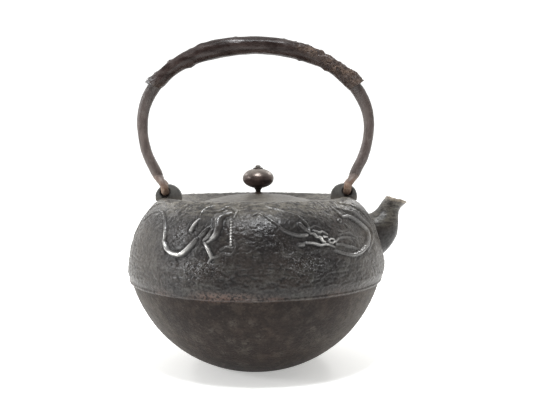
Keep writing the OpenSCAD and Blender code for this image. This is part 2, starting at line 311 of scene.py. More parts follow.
def inner_outline():
    """(radius, height) points from the mouth's lower edge down the inside to the middle of the floor."""
    seam_z, widest_z, foot_z = SEAM_EDGE[1], WIDEST[1], SHOULDER_FOOT[1]

    def skin(centre, radius, z):
        return [centre[0] + np.sqrt((radius - WALL) ** 2 - (z - centre[1]) ** 2), z]

    shoulder = [skin(SHOULDER_C, SHOULDER_CURVE, z) for z in (103.5, 101, 98, 94, 90)]
    wall = [skin(WALL_C, WALL_CURVE, z) for z in (foot_z, 80, 74, 68, widest_z)]
    lower = [skin(BOWL_C, BOWL_CURVE, z) for z in (seam_z, 48, 40, 32, 24, 17, 11, 7, 4.6)]
    top = [[MOUTH_R + 0.4, COLLAR_Z], [45.4, COLLAR_Z], [46, 97.4], [47, 99.9], [52, 102.1], [57.5, 104.3]]
    return np.array([*top, *shoulder, *wall, *lower, [27, FLOOR_Z], [14, FLOOR_Z], [0.5, FLOOR_Z]])


OUTER, INNER = outer_outline(), inner_outline()
CREST_ROW = int(np.argmax(OUTER[:, 1]))
SEAM_ROW = int(np.argmax(OUTER[:, 1] > SEAM_EDGE[1] + 0.05))
LOWER_SKIN, UPPER_SKIN = OUTER[BASE_ROWS:SEAM_ROW], OUTER[SEAM_ROW:CREST_ROW]


def turned(outline, azimuths, near_mouth):
    """The outline turned about the axis, as rows of points. Those near the mouth move to the mouth's axis."""
    a = np.radians(azimuths)[None, :]
    radius = outline[:, :1]
    shift = MOUTH_SHIFT * smoothstep(-radius, -DISH_OUTER_R, -DISH_INNER_R) * near_mouth[:, None]
    x = radius * np.sin(a) + shift
    return np.stack([x, -radius * np.cos(a), np.broadcast_to(outline[:, 1:], x.shape)], 2)


def on_bowl(path, skin=UPPER_SKIN):
    """Points of the bowl at (azimuth, height)."""
    radius = np.interp(path[:, 1], skin[:, 1], skin[:, 0])
    a = np.radians(path[:, 0])
    return np.stack([radius * np.sin(a), -radius * np.cos(a), path[:, 1]], 1)


# ---------------------------------------------------------------- cast relief

# A raised line: (azimuth, height) points, half-widths and rises spread over its length.
# The left-hand animal: a tail that loops, a haunch, a clawed leg, a crest of spines and a mane.
TAIL = [
    ([(-67, 95), (-60, 100), (-55, 101.5), (-49.5, 100.5), (-45, 97), (-42, 92)],
     (0.5, 0.7, 0.8), (0.5, 0.9, 1.1)),
    ([(-42, 92), (-41, 88.5), (-40.5, 85), (-38.5, 81.5), (-35, 79.5), (-31, 79.3), (-28.3, 81.8), (-26, 85),
      (-24.3, 88)], (0.7, 0.7, 0.9, 1.1, 1.2, 0.9), (1.2, 1.4, 1.8, 2.0, 1.8, 1.0)),
    ([(-67, 95.5), (-71, 101), (-66, 105.5), (-60, 106.3)], (0.7, 0.9, 0.6), (0.5, 0.8, 0.3)),
]
HAUNCH = [
    ([(-10.5, 102.5), (-13.5, 101), (-15.5, 98.5), (-15, 94.5), (-16, 90.5), (-17.5, 88.5)],
     (1.1, 1.6, 1.7, 1.3, 1.0), (0.8, 1.5, 1.7, 1.3, 0.6)),
    ([(-22.5, 89.5), (-21, 92), (-19, 94.5)], (0.8, 0.9, 0.5), (1.2, 1.3, 0.5)),
    ([(-20.5, 87.5), (-18.5, 90.5), (-17.3, 93.5)], (0.7, 0.9, 0.5), (1.1, 1.4, 0.5)),
    ([(-19, 86.5), (-17, 88.5), (-16.5, 90)], (0.6, 0.5), (1.0, 0.5)),
]
CLAW = [
    ([(-20, 86), (-18.2, 82.5), (-16.5, 78.5)], (0.65, 0.75, 0.7), (1.5, 1.7, 1.4)),
    ([(-16.5, 78.5), (-14, 79.5), (-12, 81), (-9, 80.5), (-7.5, 82.5)],
     (0.5, 0.45, 0.5, 0.4), (0.9, 0.4, 0.6, 0.4)),
    ([(-16.5, 78.5), (-17.5, 76), (-16, 74.5)], (0.6, 0.4), (0.9, 0.4)),
]
SPINES = [
    ([(-27.5, 92.5), (-26.3, 96), (-25, 99)], (0.9, 1.0, 0.5), (1.7, 1.3, 0.5)),
    ([(-25, 101.5), (-24.5, 103.5), (-22.5, 105), (-20, 106)], (0.5, 0.6, 0.4), (1.1, 1.1, 0.4)),
    ([(-23.5, 103), (-19, 102.5), (-15.5, 103.5), (-13.5, 105.3), (-10.5, 105.2), (-8, 103), (-8.8, 100)],
     (0.5, 0.6, 0.7, 0.6), (0.6, 0.8, 1.0, 0.6)),
]
MANE = [
    ([(-13, 83), (-11, 84.5), (-8.5, 84)], (0.6, 0.5), (0.8, 0.4)),
    ([(-8, 88), (-7, 84.5), (-7.8, 81)], (0.5, 0.5), (0.5, 0.4)),
]
# The right-hand animal: neck and jaw, snout, whiskers, and a body that loops round in front of the spout.
NECK = [
    ([(-0.5, 101), (1.5, 102), (4.5, 101), (7, 99), (10, 96), (12.5, 93), (15.5, 91.3), (19, 90), (22.5, 90)],
     (0.45, 0.5, 0.6, 0.7), (0.6, 0.8, 1.0, 1.0)),
    ([(5.5, 106), (11, 104), (16, 102), (20, 100), (22.5, 97), (23.8, 94), (23.7, 92)],
     (0.5, 0.6, 0.6), (0.5, 0.9, 1.0)),
]
HEAD = [
    ([(20, 96), (21.5, 94), (22.5, 92.5)], (0.9, 0.7), (1.2, 1.0)),
    ([(22.5, 92.5), (24.3, 90.6), (25.4, 90.4), (26.6, 88.6), (28.2, 88.2), (29, 86.2), (30.3, 85.6)],
     (0.4, 0.45, 0.6, 0.45), (1.4, 1.8, 2.2, 1.6)),
    ([(26, 92), (28.5, 90.9), (30, 91.4), (32.5, 89.7)], (0.5, 0.5, 0.4), (0.8, 1.2, 0.6)),
    ([(30.2, 88.6), (32, 88.2)], (0.5, 0.4), (1.0, 0.8)),
    ([(19, 85.2), (20.5, 85)], (0.9, 0.8), (1.4, 1.3)),
    ([(21.5, 86), (25, 85.4), (28, 84.2), (31, 84.4), (35, 82.6)],
     (0.5, 0.5, 0.5, 0.4), (1.2, 1.7, 1.7, 0.8)),
    ([(32.5, 86), (33.2, 87), (35, 86.8), (35.4, 85.6), (34.2, 84.8), (32.8, 85.2), (32.5, 86)],
     (0.45, 0.45), (1.2, 1.2)),
    ([(25, 93.5), (27, 94.5), (30, 93)], (0.5, 0.4), (0.6, 0.3)),
]
WHISKERS = [
    ([(36, 85), (38, 86.8), (40, 87.3), (44, 87), (48, 86)], (0.5, 0.6, 0.4), (0.6, 0.8, 0.4)),
    ([(36, 84), (39.5, 83.5), (42.5, 82), (46.5, 80.7), (51, 79)], (0.5, 0.6, 0.4), (0.7, 0.8, 0.5)),
    ([(39, 91), (42, 90.5), (45, 91.5)], (0.4, 0.4), (0.5, 0.3)),
    ([(38, 88.5), (41, 89.5), (46, 89), (50, 86.5), (54, 86)], (0.4, 0.5, 0.4), (0.5, 0.6, 0.3)),
]
LOOP = [
    ([(42, 105), (43.7, 101.5), (45.5, 98.7), (49.5, 98.5), (53.5, 96.5), (58, 93), (61, 89), (60.5, 84.5),
      (56.5, 80.5), (51, 78), (45.5, 77), (40, 78.5), (35, 81)],
     (0.5, 0.7, 1.0, 1.0, 0.9, 0.7), (0.6, 1.2, 1.5, 1.6, 1.4, 0.7)),
    ([(46, 103.5), (54, 100.5), (59.5, 97), (63.5, 92.5), (65, 87.5), (62.5, 82), (56, 77.5)],
     (0.7, 0.9, 0.9, 0.6), (0.8, 1.3, 1.3, 0.5)),
    ([(52, 105.8), (60, 103.5), (66.5, 98), (71, 91), (73, 84)], (0.6, 0.9, 0.9, 0.5), (0.6, 1.1, 1.1, 0.4)),
    ([(64, 104), (70, 99.5), (75, 93), (78, 85), (80, 78)], (0.7, 0.9, 0.9, 0.5), (0.6, 1.1, 1.1, 0.4)),
    ([(41.2, 96.6), (42, 97.6), (43.2, 97), (42.8, 95.8), (41.6, 95.8), (41.2, 96.6)],
     (0.4, 0.4), (0.9, 0.9)),
    ([(45, 94.5), (45.9, 93)], (0.5, 0.6), (0.5, 1.0)),
]
# Thin lines along the shoulder, and low clouds under the animals
DRIFTS = [
    ([(-36, 73), (-28.5, 71.5), (-23, 74), (-17.5, 75.5)], (0.7, 0.7), (0.25, 0.20)),
    ([(-34, 66.5), (-30, 66.5), (-25, 68), (-21, 70)], (0.6, 0.6), (0.22, 0.18)),
    ([(-29, 76), (-24, 77.5), (-19, 76)], (0.5, 0.5), (0.25, 0.20)),
    ([(-14, 73), (-9, 74.5), (-3, 73), (2, 74.5)], (0.6, 0.6), (0.18, 0.15)),
    ([(8.5, 90), (11, 85.5), (11.5, 81), (13.5, 79.5), (16, 80.5)], (0.7, 0.8, 0.6), (0.3, 0.5, 0.3)),
    ([(14, 80), (18, 77), (22, 73.5), (28, 70.5)], (0.7, 0.7, 0.6), (0.2, 0.35, 0.2)),
    ([(17, 83), (22, 79), (27, 76), (32, 72.5)], (0.7, 0.7, 0.5), (0.2, 0.35, 0.2)),
    ([(10, 76), (15, 73), (20, 69.5)], (0.6, 0.6, 0.4), (0.15, 0.25, 0.15)),
]
FRONT = TAIL + HAUNCH + CLAW + SPINES + MANE + NECK + HEAD + WHISKERS + LOOP + DRIFTS
# The tables below hold patches: azimuth, height, radius round the bowl, radius up, strength.
# Soft swellings and hollows, with rises in mm
SWELLS = [
    (-17, 95, 6.5, 7, 0.8), (-32, 90, 7, 6, -0.5), (-52, 95, 7, 6, -0.3), (-30, 75.5, 11, 2.4, -0.6),
    (14, 97, 8, 5, 0.7), (27, 88, 6, 5, 0.9), (52, 89, 8, 6, -0.9), (65, 88, 4, 14, 0.8),
    (58, 101, 9, 4, 0.8), (33, 79, 14, 2.4, -0.9), (-12, 86, 5, 5, -0.5), (42, 92, 5, 5, -0.5),
    (17, 87, 5, 2.5, -0.5),
    (-88, 93, 30, 9, -1.3), (88, 66, 30, 9, 0.9),
]
# Where the skin is coarse and glints; its colour there also gets whitish specks, which are painted glints
COARSE_SPOTS = [
    (-32.5, 90, 5, 7, 1.0), (-22, 72, 15, 6, 0.9), (4, 96.5, 6, 6, 0.6), (22, 74, 13, 7, 1.0),
    (-66, 90, 8, 12, 0.5), (10, 86, 8, 6, 0.5), (-70, 70, 12, 12, 0.5), (60, 68, 14, 8, 0.4),
]
# Where the haunch is matt, and the plain patch between the animals, without their strength
MATT_HAUNCH = (-13.5, 98, 5.5, 6)
SMOOTH_MIDDLE = (7, 91, 13, 9)
# A string of beads down the left-hand animal
BEADS_FROM, BEADS_TO, BEAD_COUNT, BEAD_R, BEAD_RISE = (-9.6, 97.5), (-9.0, 85.5), 9, 0.9, 1.1
# Rust that has crept over the seam
RUST_SPOTS = [
    (-17, 57, 9, 2.6, 0.9), (-6, 57.5, 9, 2.2, 0.7), (8, 56.5, 6, 1.6, 0.5), (33, 57, 8, 2.4, 0.3),
    (-40, 56.5, 7, 2, 0.4), (-75, 57, 14, 3, 0.5), (160, 57, 18, 3, 0.8), (215, 58, 14, 3, 0.7),
]
# Where the ridges are rubbed to bare metal
WORN_SPOTS = [
    (-32, 81, 8, 5, 1.0), (-41, 88, 3, 6, 0.5), (-18.2, 82, 2.4, 5, 1.0), (-9.4, 91, 2.2, 8, 0.9),
    (-26.5, 94, 2.5, 4.5, 0.6), (28, 87.3, 7, 4, 1.0), (34, 86, 3.5, 2.5, 0.9), (-16.5, 89, 2, 2.5, 0.35),
    (60, 88, 5, 10, 0.15), (46, 98, 6, 3, 0.25),
]
# Pale scale spots on the lower bowl: azimuth, height, radius
PALE_SPOTS = [
    (-11.5, 30, 2.6), (-4.5, 29, 2.2), (-6, 24.5, 2.2), (-3, 25, 2), (-17, 21, 2), (-9, 42, 3), (-1, 42, 2.4),
    (27, 36, 2.4), (33, 27, 6), (-20, 36, 2.6), (14, 20, 3), (-30, 30, 4), (47, 24, 8), (2, 33, 1.8),
]


def across_to_back(lines):
    """The lines mirrored to the far side of the bowl."""
    return [([(180 - a, z) for a, z in path], widths, rises) for path, widths, rises in lines]


# The far side, which is a guess: the long lines of both animals, and clouds in place of the head.
CLOUDS = [
    ([(206, 90), (201, 94), (195, 92), (195, 87), (200, 85.5), (203, 88.5), (200, 90)],
     (0.8, 1.2, 0.7), (0.9, 1.4, 0.7)),
    ([(195, 87), (188, 83), (180, 84), (176, 88), (179, 91.5), (183, 89.5)],
     (0.9, 1.2, 0.7), (0.9, 1.4, 0.7)),
    ([(176, 88), (169, 84), (161, 85.5), (158, 90), (161.5, 93), (165, 91)],
     (0.9, 1.2, 0.7), (0.9, 1.4, 0.7)),
    ([(214, 84), (205, 79), (193, 77.5), (180, 78.5), (167, 77), (155, 79), (146, 84)],
     (0.8, 1.3, 0.8), (0.6, 1.2, 0.6)),
    ([(170, 101), (180, 103.5), (192, 102), (200, 99)], (0.7, 1.0, 0.6), (0.6, 1.0, 0.5)),
]
BACK = across_to_back(TAIL + SPINES + NECK + LOOP[:4] + DRIFTS) + CLOUDS
# Left end, between the two sides
LEFT_END = [
    ([(-98, 70), (-92, 78), (-84, 83), (-78, 90), (-80, 97), (-86, 99)], (0.8, 1.2, 0.7), (0.5, 0.9, 0.4)),
    ([(-104, 82), (-98, 88), (-95, 96), (-100, 101)], (0.8, 1.1, 0.6), (0.5, 0.8, 0.4)),
]


def raised_line(skin, path, widths, rises):
    """(ridge, hollow, crown) of a raised line at each skin point: two heights in mm, and 1 along its top."""
    at = on_bowl(curve_through(path, 10))
    width, rise = spread_over(widths, len(at)), spread_over(rises, len(at))
    reach = 3.2 * width.max()
    near = np.flatnonzero(np.all((skin > at.min(0) - reach) & (skin < at.max(0) + reach), axis=1))
    away = np.linalg.norm(skin[near, None] - at[None], axis=2)
    k = np.argmin(away, axis=1)
    x = away[np.arange(len(near)), k] / width[k]
    ridge, hollow, crown = np.zeros((3, len(skin)))
    crown[near] = np.clip(1 - (x / 1.5) ** 2, 0, 1) ** 1.3
    ridge[near] = rise[k] * crown[near]
    hollow[near] = 0.24 * rise[k] * np.exp(-(((x - 1.9) / 0.55) ** 2))
    return ridge, hollow, crown


def patch(skin, azimuth, z, half_width, half_height):
    """1 in the middle of a patch of the bowl, falling to 0 around it."""
    turn = np.angle(np.exp(1j * (np.arctan2(skin[:, 0], -skin[:, 1]) - radians(azimuth))))
    along = turn * SHOULDER_FOOT[0] / half_width
    up = (skin[:, 2] - z) / half_height
    return np.exp(-(along**2 + up**2))


def patches(skin, table, mirror=None):
    """All patches of a table, each times its strength. Mirrored, an azimuth a becomes mirror - a."""
    places = [(a if mirror is None else mirror - a, *rest) for a, *rest in table]
    return sum(strength * patch(skin, *place) for *place, strength in places)


def relief_on(skin):
    """(height in mm, ridge height, coarseness, wear, foot) of the relief at each point of the upper shell."""
    ridge, hollow, crown = np.zeros((3, len(skin)))
    for path, widths, rises in FRONT + BACK + LEFT_END:
        raised = raised_line(skin, path, widths, rises)
        ridge, hollow, crown = np.maximum((ridge, hollow, crown), raised)
    for place in np.linspace(BEADS_FROM, BEADS_TO, BEAD_COUNT):
        away = np.linalg.norm(skin - on_bowl(place[None])[0], axis=1)
        bead = np.clip(1 - (away / BEAD_R) ** 2, 0, 1)
        ridge, crown = np.maximum(ridge, BEAD_RISE * bead), np.maximum(crown, bead)
    swell = patches(skin, SWELLS) + 0.6 * patches(skin, SWELLS, 180)
    coarse = patches(skin, COARSE_SPOTS) + patches(skin, COARSE_SPOTS, 185)
    worn = patches(skin, WORN_SPOTS) * smoothstep(crown, 0.35, 0.95) * smoothstep(ridge, 0.3, 0.8)
    foot = hollow * (1 - np.clip(ridge / 0.4, 0, 1))
    return ridge - foot + swell, ridge, np.clip(coarse, 0, 1), worn, foot


# ---------------------------------------------------------------- the bowl

WATER_Z, WATER_SLOPE, WATER_R = 84.0, 32.0, 8.6
WATER_DIR = np.array([np.cos(radians(WATER_SLOPE)), 0, np.sin(radians(WATER_SLOPE))])
WATER_AT = on_bowl(np.array([[90.0, WATER_Z]]))[0]
# How many columns the bowl has outside and inside, and by how many degrees they shift to the front
OUTER_COLUMNS, INNER_COLUMNS, TO_FRONT = 840, 210, 17
RELIEF_START = SEAM_ROW + 14


def opened(points, quads, radius):
    """The quads without those in the way of the water hole, on the spout's side of the bowl."""
    middle = points[quads].mean(1)
    offset = middle - WATER_AT
    away = np.linalg.norm(offset - np.outer(offset @ WATER_DIR, WATER_DIR), axis=1)
    return quads[(away > radius) | (middle[:, 0] < BOWL_R / 2)]


def bowl_columns(count):
    """Azimuths all round, closer together at the front."""
    u = np.linspace(0, 360, count, endpoint=False)
    return u - TO_FRONT * np.sin(np.radians(u))


def pale_scale(skin):
    """1 in the middle of each pale spot of the lower bowl, falling to 0 around it."""
    pale = np.zeros(len(skin))
    for azimuth, z, radius in PALE_SPOTS:
        middle = on_bowl(np.array([[azimuth, z]]), LOWER_SKIN)
        pale = np.maximum(pale, np.exp(-((np.linalg.norm(skin - middle, axis=1) / radius) ** 2)))
    return pale


def bowl_inside():
    """Points and quads of the bowl's inside."""
    grid = turned(INNER, bowl_columns(INNER_COLUMNS), INNER[:, 1] > SHOULDER_FOOT[1] + 3)
    skin, normal = listed(grid)
    skin = skin + normal * (0.2 * layered(skin, 8, 15) * (skin[:, 2] < COLLAR_Z - 1.6))[:, None]
    return skin, opened(skin, grid_quads(*grid.shape[:2]), WATER_R + 0.6)


def cast_bowl():
    """Mesh and marks of the bowl, outside and inside."""
    grid = turned(OUTER, bowl_columns(OUTER_COLUMNS), np.arange(len(OUTER)) > CREST_ROW)
    skin, normal = listed(grid)
    row = np.repeat(np.arange(len(OUTER)), OUTER_COLUMNS)
    z, above_seam = skin[:, 2], skin[:, 2] - SEAM_EDGE[1]
    outside = row <= CREST_ROW + 2
    upper = outside & (row > RELIEF_START)
    lower = outside & (row <= SEAM_ROW)
    on_upper = smoothstep(above_seam, 1.5, 7) * outside
    on_dish = (~outside) & (OUTER[row, 0] > SEAT_R + 0.3)
    on_seat = (~outside) & (OUTER[row, 0] < SEAT_R + 0.3)

    relief = np.zeros((5, len(skin)))
    relief[:, upper] = relief_on(skin[upper])
    height, ridge, coarse, worn, foot = relief
    height = height * (1 - smoothstep(z, CREST_Z - 1.6, CREST_Z - 0.1))

    lumps = 0.50 * noise(skin, 31, 1) + 0.28 * noise(skin, 15, 2)
    low_down = 1 - smoothstep(z, 72, 86)
    streaks = crinkle(skin, (9, 9, 3.2), 3) * (0.3 + 0.7 * low_down)
    streaks += 0.8 * crinkle(skin, (4.2, 4.2, 2.2), 10)
    creases = 0.12 * streaks + 0.19 * layered(skin, (3.2, 3.2, 2.0), 4) + 0.09 * noise(skin, 1.4, 8)
    creases *= (1 - 0.8 * np.clip(ridge / 0.8, 0, 1)) * (1 - 0.55 * patch(skin, *SMOOTH_MIDDLE))
    casting = on_upper * (lumps + creases)
    casting += coarse * (0.06 * crinkle(skin, (2.6, 2.6, 2.0), 5) + 0.14 * noise(skin, 1.3, 6))
    casting += lower * (0.12 * noise(skin, 26, 7) + 0.025 * layered(skin, 4, 9)) * smoothstep(z, 0.5, 9)
    at_seam = np.exp(-(((above_seam - 1.2) / 1.6) ** 2)) * outside
    casting += at_seam * (0.22 * noise(skin, 9, 12) + 0.12 * noise(skin, 3, 13))
    casting += on_dish * (0.30 * noise(skin, 24, 1) + 0.08 * layered(skin, 5, 14))
    skin = skin + normal * (height + casting)[:, None]
    skin[:, 2] = np.maximum(skin[:, 2], 0)

    inner, inner_quads = bowl_inside()
    outer_quads = opened(skin, grid_quads(*grid.shape[:2]), WATER_R + 1.1)
    mesh = mesh_of("kettle_bowl", *joined((skin, outer_quads), (inner, inner_quads)))
    sideways = smoothstep(np.abs(skin[:, 0]) / np.hypot(skin[:, 0], skin[:, 1]), 0.5, 1.0)
    # painted shade: less of the top's dusty coat towards the back, so the back of the rim and dish are darker
    back_shade_factor = 1 - 0.45 * smoothstep(skin[:, 1], 15, 55)
    marks = {
        "relief": np.clip(ridge / 1.3, 0, 1) * (1 - 0.65 * patch(skin, *MATT_HAUNCH)),
        "coarse": coarse,
        "worn": np.clip(worn, 0, 1),
        "lower": 1.0 * lower,
        "seam": np.exp(-(((above_seam - 0.6) / 0.5) ** 2)) * outside,
        "top": (smoothstep(z, 96, 107) * outside + on_dish) * back_shade_factor,
        "rusty": np.clip(patches(skin, RUST_SPOTS) * outside, 0, 1),
        # painted sheen: lighter towards the bowl's left and right edges, below the shoulder
        "ash": sideways * outside * (1 - smoothstep(z, 88, 100)),
        "pale": pale_scale(skin) * lower,
        "inside": 1.0 * on_seat,
        # painted shade: this mark darkens the creases and the grooves at the feet of the raised lines
        "hollow": np.clip(np.maximum(-creases / 0.2, foot / 0.22), 0, 1) * on_upper,
    }
    within = np.ones(len(inner))
    return mesh, {name: np.append(values, within * (name == "inside")) for name, values in marks.items()}


# ---------------------------------------------------------------- the spout

# Stations: x, z, direction of the in-plane half-width in degrees, that half-width, half-depth in Y
SPOUT_STATIONS = [
    (75.0, 80.0, -58, 13.6, 11.5),
    (80.4, 84.3, -54, 12.8, 11.0),
    (84.6, 89.3, -45, 11.0, 9.8),
    (86.4, 94.2, -35, 8.5, 8.2),
    (87.5, 98.6, -27, 6.8, 6.9),
    (89.2, 102.2, -23, 6.4, 6.5),
    (91.9, 104.7, -13, 7.2, 6.9),
]
BORE_START = (72.3, 78.1, -58, WATER_R + 0.9, WATER_R + 0.9)
SPOUT_WALL = 2.3
SPOUT_STEPS, SPOUT_AROUND = 14, 112


def rings(stations, around):
    """Oval rings of points round each station."""
    a = np.linspace(0, 2 * np.pi, around, endpoint=False)[None, :]
    x, z, turn, half_in, half_y = (stations[:, k][:, None] for k in range(5))
    turn = np.radians(turn)
    out = half_in * np.cos(a)
    return np.stack([x + out * np.cos(turn), half_y * np.sin(a), z + out * np.sin(turn)], 2)


def spout_bore(outer):
    """Stations of the bore, from the water hole to the mouth."""
    place = np.arange(len(outer))
    bore = outer.copy()
    bore[:, 3:] -= SPOUT_WALL - 0.2 * smoothstep(place, len(outer) - SPOUT_STEPS, len(outer))[:, None]
    bore = np.vstack([curve_through([BORE_START, bore[0]], 6)[:-1], bore])
    bore[:SPOUT_STEPS, 3:] = np.minimum(bore[:SPOUT_STEPS, 3:], BORE_START[4])
    return bore


def cast_spout():
    """Mesh and marks of the spout, with its bore and a worn lip."""
    outer = curve_through(SPOUT_STATIONS, SPOUT_STEPS)
    edge = outer[-1]
    mouth_turn = np.radians(edge[2] + 90)
    mouth_way = np.array([np.cos(mouth_turn), 0, np.sin(mouth_turn)])
    lip = []
    for t in np.radians([25, 50, 75, 105, 130, 155]):
        back, rise = 0.5 * SPOUT_WALL * (1 - np.cos(t)), 0.45 * SPOUT_WALL * np.sin(t)
        lip.append(edge + [rise * mouth_way[0], rise * mouth_way[2], 0, -back, -back])
    stations = np.vstack([outer, lip, spout_bore(outer)[::-1]])
    grid = rings(stations, SPOUT_AROUND)
    skin, normal = listed(grid)
    place = np.repeat(np.arange(len(stations)), SPOUT_AROUND) - len(outer)
    on_outer = place < 0
    on_lip = np.exp(-(((place - 2) / 7.0) ** 2))

    off_bowl = np.hypot(skin[:, 0], skin[:, 1]) - np.interp(skin[:, 2], UPPER_SKIN[:, 1], UPPER_SKIN[:, 0])
    fillet = 1.5 * np.exp(-np.clip(off_bowl + 0.6, 0, None) / 1.1) * on_outer
    rough = 0.28 * noise(skin, 9, 21) + 0.10 * layered(skin, 3.2, 22)
    ragged = on_lip * (0.42 * noise(skin, 4.5, 23) + 0.22 * noise(skin, 2, 24))
    quads = grid_quads(*grid.shape[:2])
    facing = facing_out(skin, quads)
    sign = 1 if facing[0, 0] == quads[0, 0] else -1
    skin = skin + sign * normal * (fillet + on_outer * rough + 0.4 * ragged)[:, None]
    skin += ragged[:, None] * mouth_way
    z = skin[:, 2]
    marks = {
        "relief": np.clip(0.05 * on_outer + 0.2 * noise(skin, 6, 25), 0, 0.3) * smoothstep(z, 86, 94),
        "lip": np.clip(on_lip * (1.1 + 0.6 * noise(skin, 3, 26)), 0, 1),
        "top": on_outer * (0.65 * smoothstep(z, 84, 94) + 0.3 * smoothstep(z, 99, 106)),
        # painted shade: the spout's lower part, shadowed by the bowl, is darkened through this mark
        "hollow": 0.7 * on_outer * (1 - smoothstep(z, 80, 90)),
        "inside": smoothstep(place, 8, 16),
    }
    return mesh_of("kettle_spout", skin, facing), marks


# ---------------------------------------------------------------- lugs, lid and knob

BAIL_SHIFT = 0.5
HOLE_X, HOLE_Z, HOLE_R = 59.2, 110.7, 2.8


def cast_lug(node):
    """Mesh and marks of a lug, from the CAD shape. Its skin is uneven, but not near the hook's hole."""
    mesh = softened(node, 0.30, 5)
    at = points_of(mesh)
    low, high = cad_box(node)
    hole_x = BAIL_SHIFT + np.sign(low[0]) * HOLE_X
    from_hole = np.hypot(at[:, 0] - hole_x, at[:, 2] - HOLE_Z)
    near_hole = 1 - smoothstep(from_hole, HOLE_R + 0.8, HOLE_R + 2.2)
    scale = 0.16 + 0.24 * smoothstep(HOLE_Z - at[:, 2], 0.8, 2.0) * (from_hole < HOLE_R + 0.6)
    push(mesh, (0.16 * noise(at, 5, 31) + 0.08 * layered(at, 1.8, 32)) * (1 - near_hole) + scale * near_hole)
    z = points_of(mesh)[:, 2]
    return mesh, {
        # painted shade: the ring round the hook's hole, darkened in place of the shadow inside the hole
        "hole": 1 - smoothstep(from_hole, HOLE_R + 0.2, HOLE_R + 1.6),
        "rim": smoothstep(z, high[2] - 3, high[2]),
        "foot": 1 - smoothstep(z, low[2] + 1, low[2] + 5),
    }


LID_LOW, LID_HIGH = cad_box("lid")
LID_R = (LID_HIGH[0] - LID_LOW[0]) / 2
LID_T = 2.8
LID_TOP = LID_HIGH[2] - 1.1
LID_EDGE_Z = SEAT_Z + LID_T - 0.2
LID_RISE = LID_TOP - LID_EDGE_Z
LID_CURVE = (LID_R**2 + LID_RISE**2) / (2 * LID_RISE)
LID_C = np.array([0, LID_TOP - LID_CURVE])
PIN_R, PIN_BORE_R = 1.3, 1.4
RIM_R = MOUTH_R - 0.7
RIM_INNER_R = MOUTH_R - 3.2
RIM_LOW = LID_LOW[2]
PAD_Z = LID_TOP - LID_T - 0.2
# Radius, half-width and rise of the two turned lines on the lid
LID_LINES = [(31, 1.1, 1.0), (34.5, 0.8, 0.7)]
LID_AROUND, BEAD_AROUND, SMALL_AROUND = 260, 128, 48


def revolve(outline, around):
    """The outline turned about the middle of the mouth, as rows of points."""
    a = np.linspace(0, 2 * np.pi, around, endpoint=False)[None, :]
    x = MOUTH_SHIFT + outline[:, :1] * np.cos(a)
    y = outline[:, :1] * np.sin(a)
    return np.stack([x, y, np.broadcast_to(outline[:, 1:], x.shape)], 2)


def on_dome(r, drop=0.0):
    """Outline points of the lid's dome at radius r, or of its underside."""
    return np.stack([r, LID_C[1] + np.sqrt((LID_CURVE - drop) ** 2 - r**2)], 1)


def cast_lid():
    """Mesh and marks of the lid: shallow dome, rim below it, and a boss for the rivet."""
    under = on_dome(np.linspace(6.6, RIM_INNER_R - 0.4, 12), LID_T)
    rim = [[RIM_INNER_R, under[-1][1] - 0.5], [RIM_INNER_R, RIM_LOW + 0.3], [RIM_INNER_R + 0.3, RIM_LOW],
           [RIM_R - 0.3, RIM_LOW], [RIM_R, RIM_LOW + 0.3], [RIM_R, SEAT_Z - 0.3], [RIM_R + 0.3, SEAT_Z]]
    edge = [[LID_R - 0.3, SEAT_Z], [LID_R, SEAT_Z + 0.3], [LID_R, LID_EDGE_Z - 0.5],
            [LID_R - 0.25, LID_EDGE_Z - 0.1]]
    dome = on_dome(np.linspace(LID_R - 0.6, 4.4, 70))
    boss = [[3.7, LID_TOP + 0.1], [2.9, LID_TOP + 0.5], [2.1, LID_HIGH[2] - 0.15], [1.9, LID_HIGH[2]],
            [PIN_R, LID_HIGH[2]]]
    outline = np.vstack([[[PIN_R, PAD_Z], [6.5, PAD_Z]], under, rim, edge, dome, boss])
    grid = revolve(outline, LID_AROUND)
    skin, normal = listed(grid)
    row = np.repeat(np.arange(len(outline)), LID_AROUND)
    on_top = row >= len(outline) - len(dome) - len(boss)
    radius = outline[row, 0]
    ring_line = sum(rise * np.exp(-(((radius - r) / width) ** 2)) for r, width, rise in LID_LINES)
    uneven = 0.16 * noise(skin, 14, 41) + 0.07 * layered(skin, 3.5, 42) + 0.30 * ring_line
    amount = on_top * smoothstep(radius, 4, 9) * uneven + (~on_top) * 0.05 * noise(skin, 3, 43)
    skin = skin + normal * amount[:, None]
    marks = {
        "top": 1.0 * on_top,
        "relief": 0.6 * ring_line * on_top + 0.5 * (radius < 5) * on_top,
        "inside": 0.6 * (~on_top),
        "stain": np.exp(-(((radius - 3) / 4) ** 2)) * on_top,
    }
    return mesh_of_grid("kettle_lid", grid, skin), marks


def heights(node):
    """Lowest and highest z of a CAD node."""
    low, high = cad_box(node)
    return low[2], high[2]


def knob_bead():
    """Mesh and marks of the hollow bead: an oval, a little faceted by the hammer."""
    low, high = cad_box("knob_bead")
    radius, middle = (high[0] - low[0]) / 2, (low[2] + high[2]) / 2
    half = (high[2] - low[2]) / 2 + 0.1
    t = np.radians(np.linspace(-80, 80, 64))
    oval = np.stack([radius * np.cos(t), middle + half * np.sin(t)], 1)
    outline = np.vstack([[[PIN_BORE_R, oval[0][1]]], oval, [[PIN_BORE_R, oval[-1][1]]]])
    grid = revolve(outline, BEAD_AROUND)
    skin, normal = listed(grid)
    row = np.repeat(np.arange(len(outline)), BEAD_AROUND)
    on_oval = (row > 1) & (row < len(outline) - 2)
    amount = 0.16 * noise(skin, 6.5, 51) + 0.05 * noise(skin, 2.6, 52)
    skin = skin + normal * (amount * on_oval)[:, None]
    marks = {"high": smoothstep(skin[:, 2], middle - 1, middle + half)}
    return mesh_of_grid("knob_bead_worn", grid, skin), marks


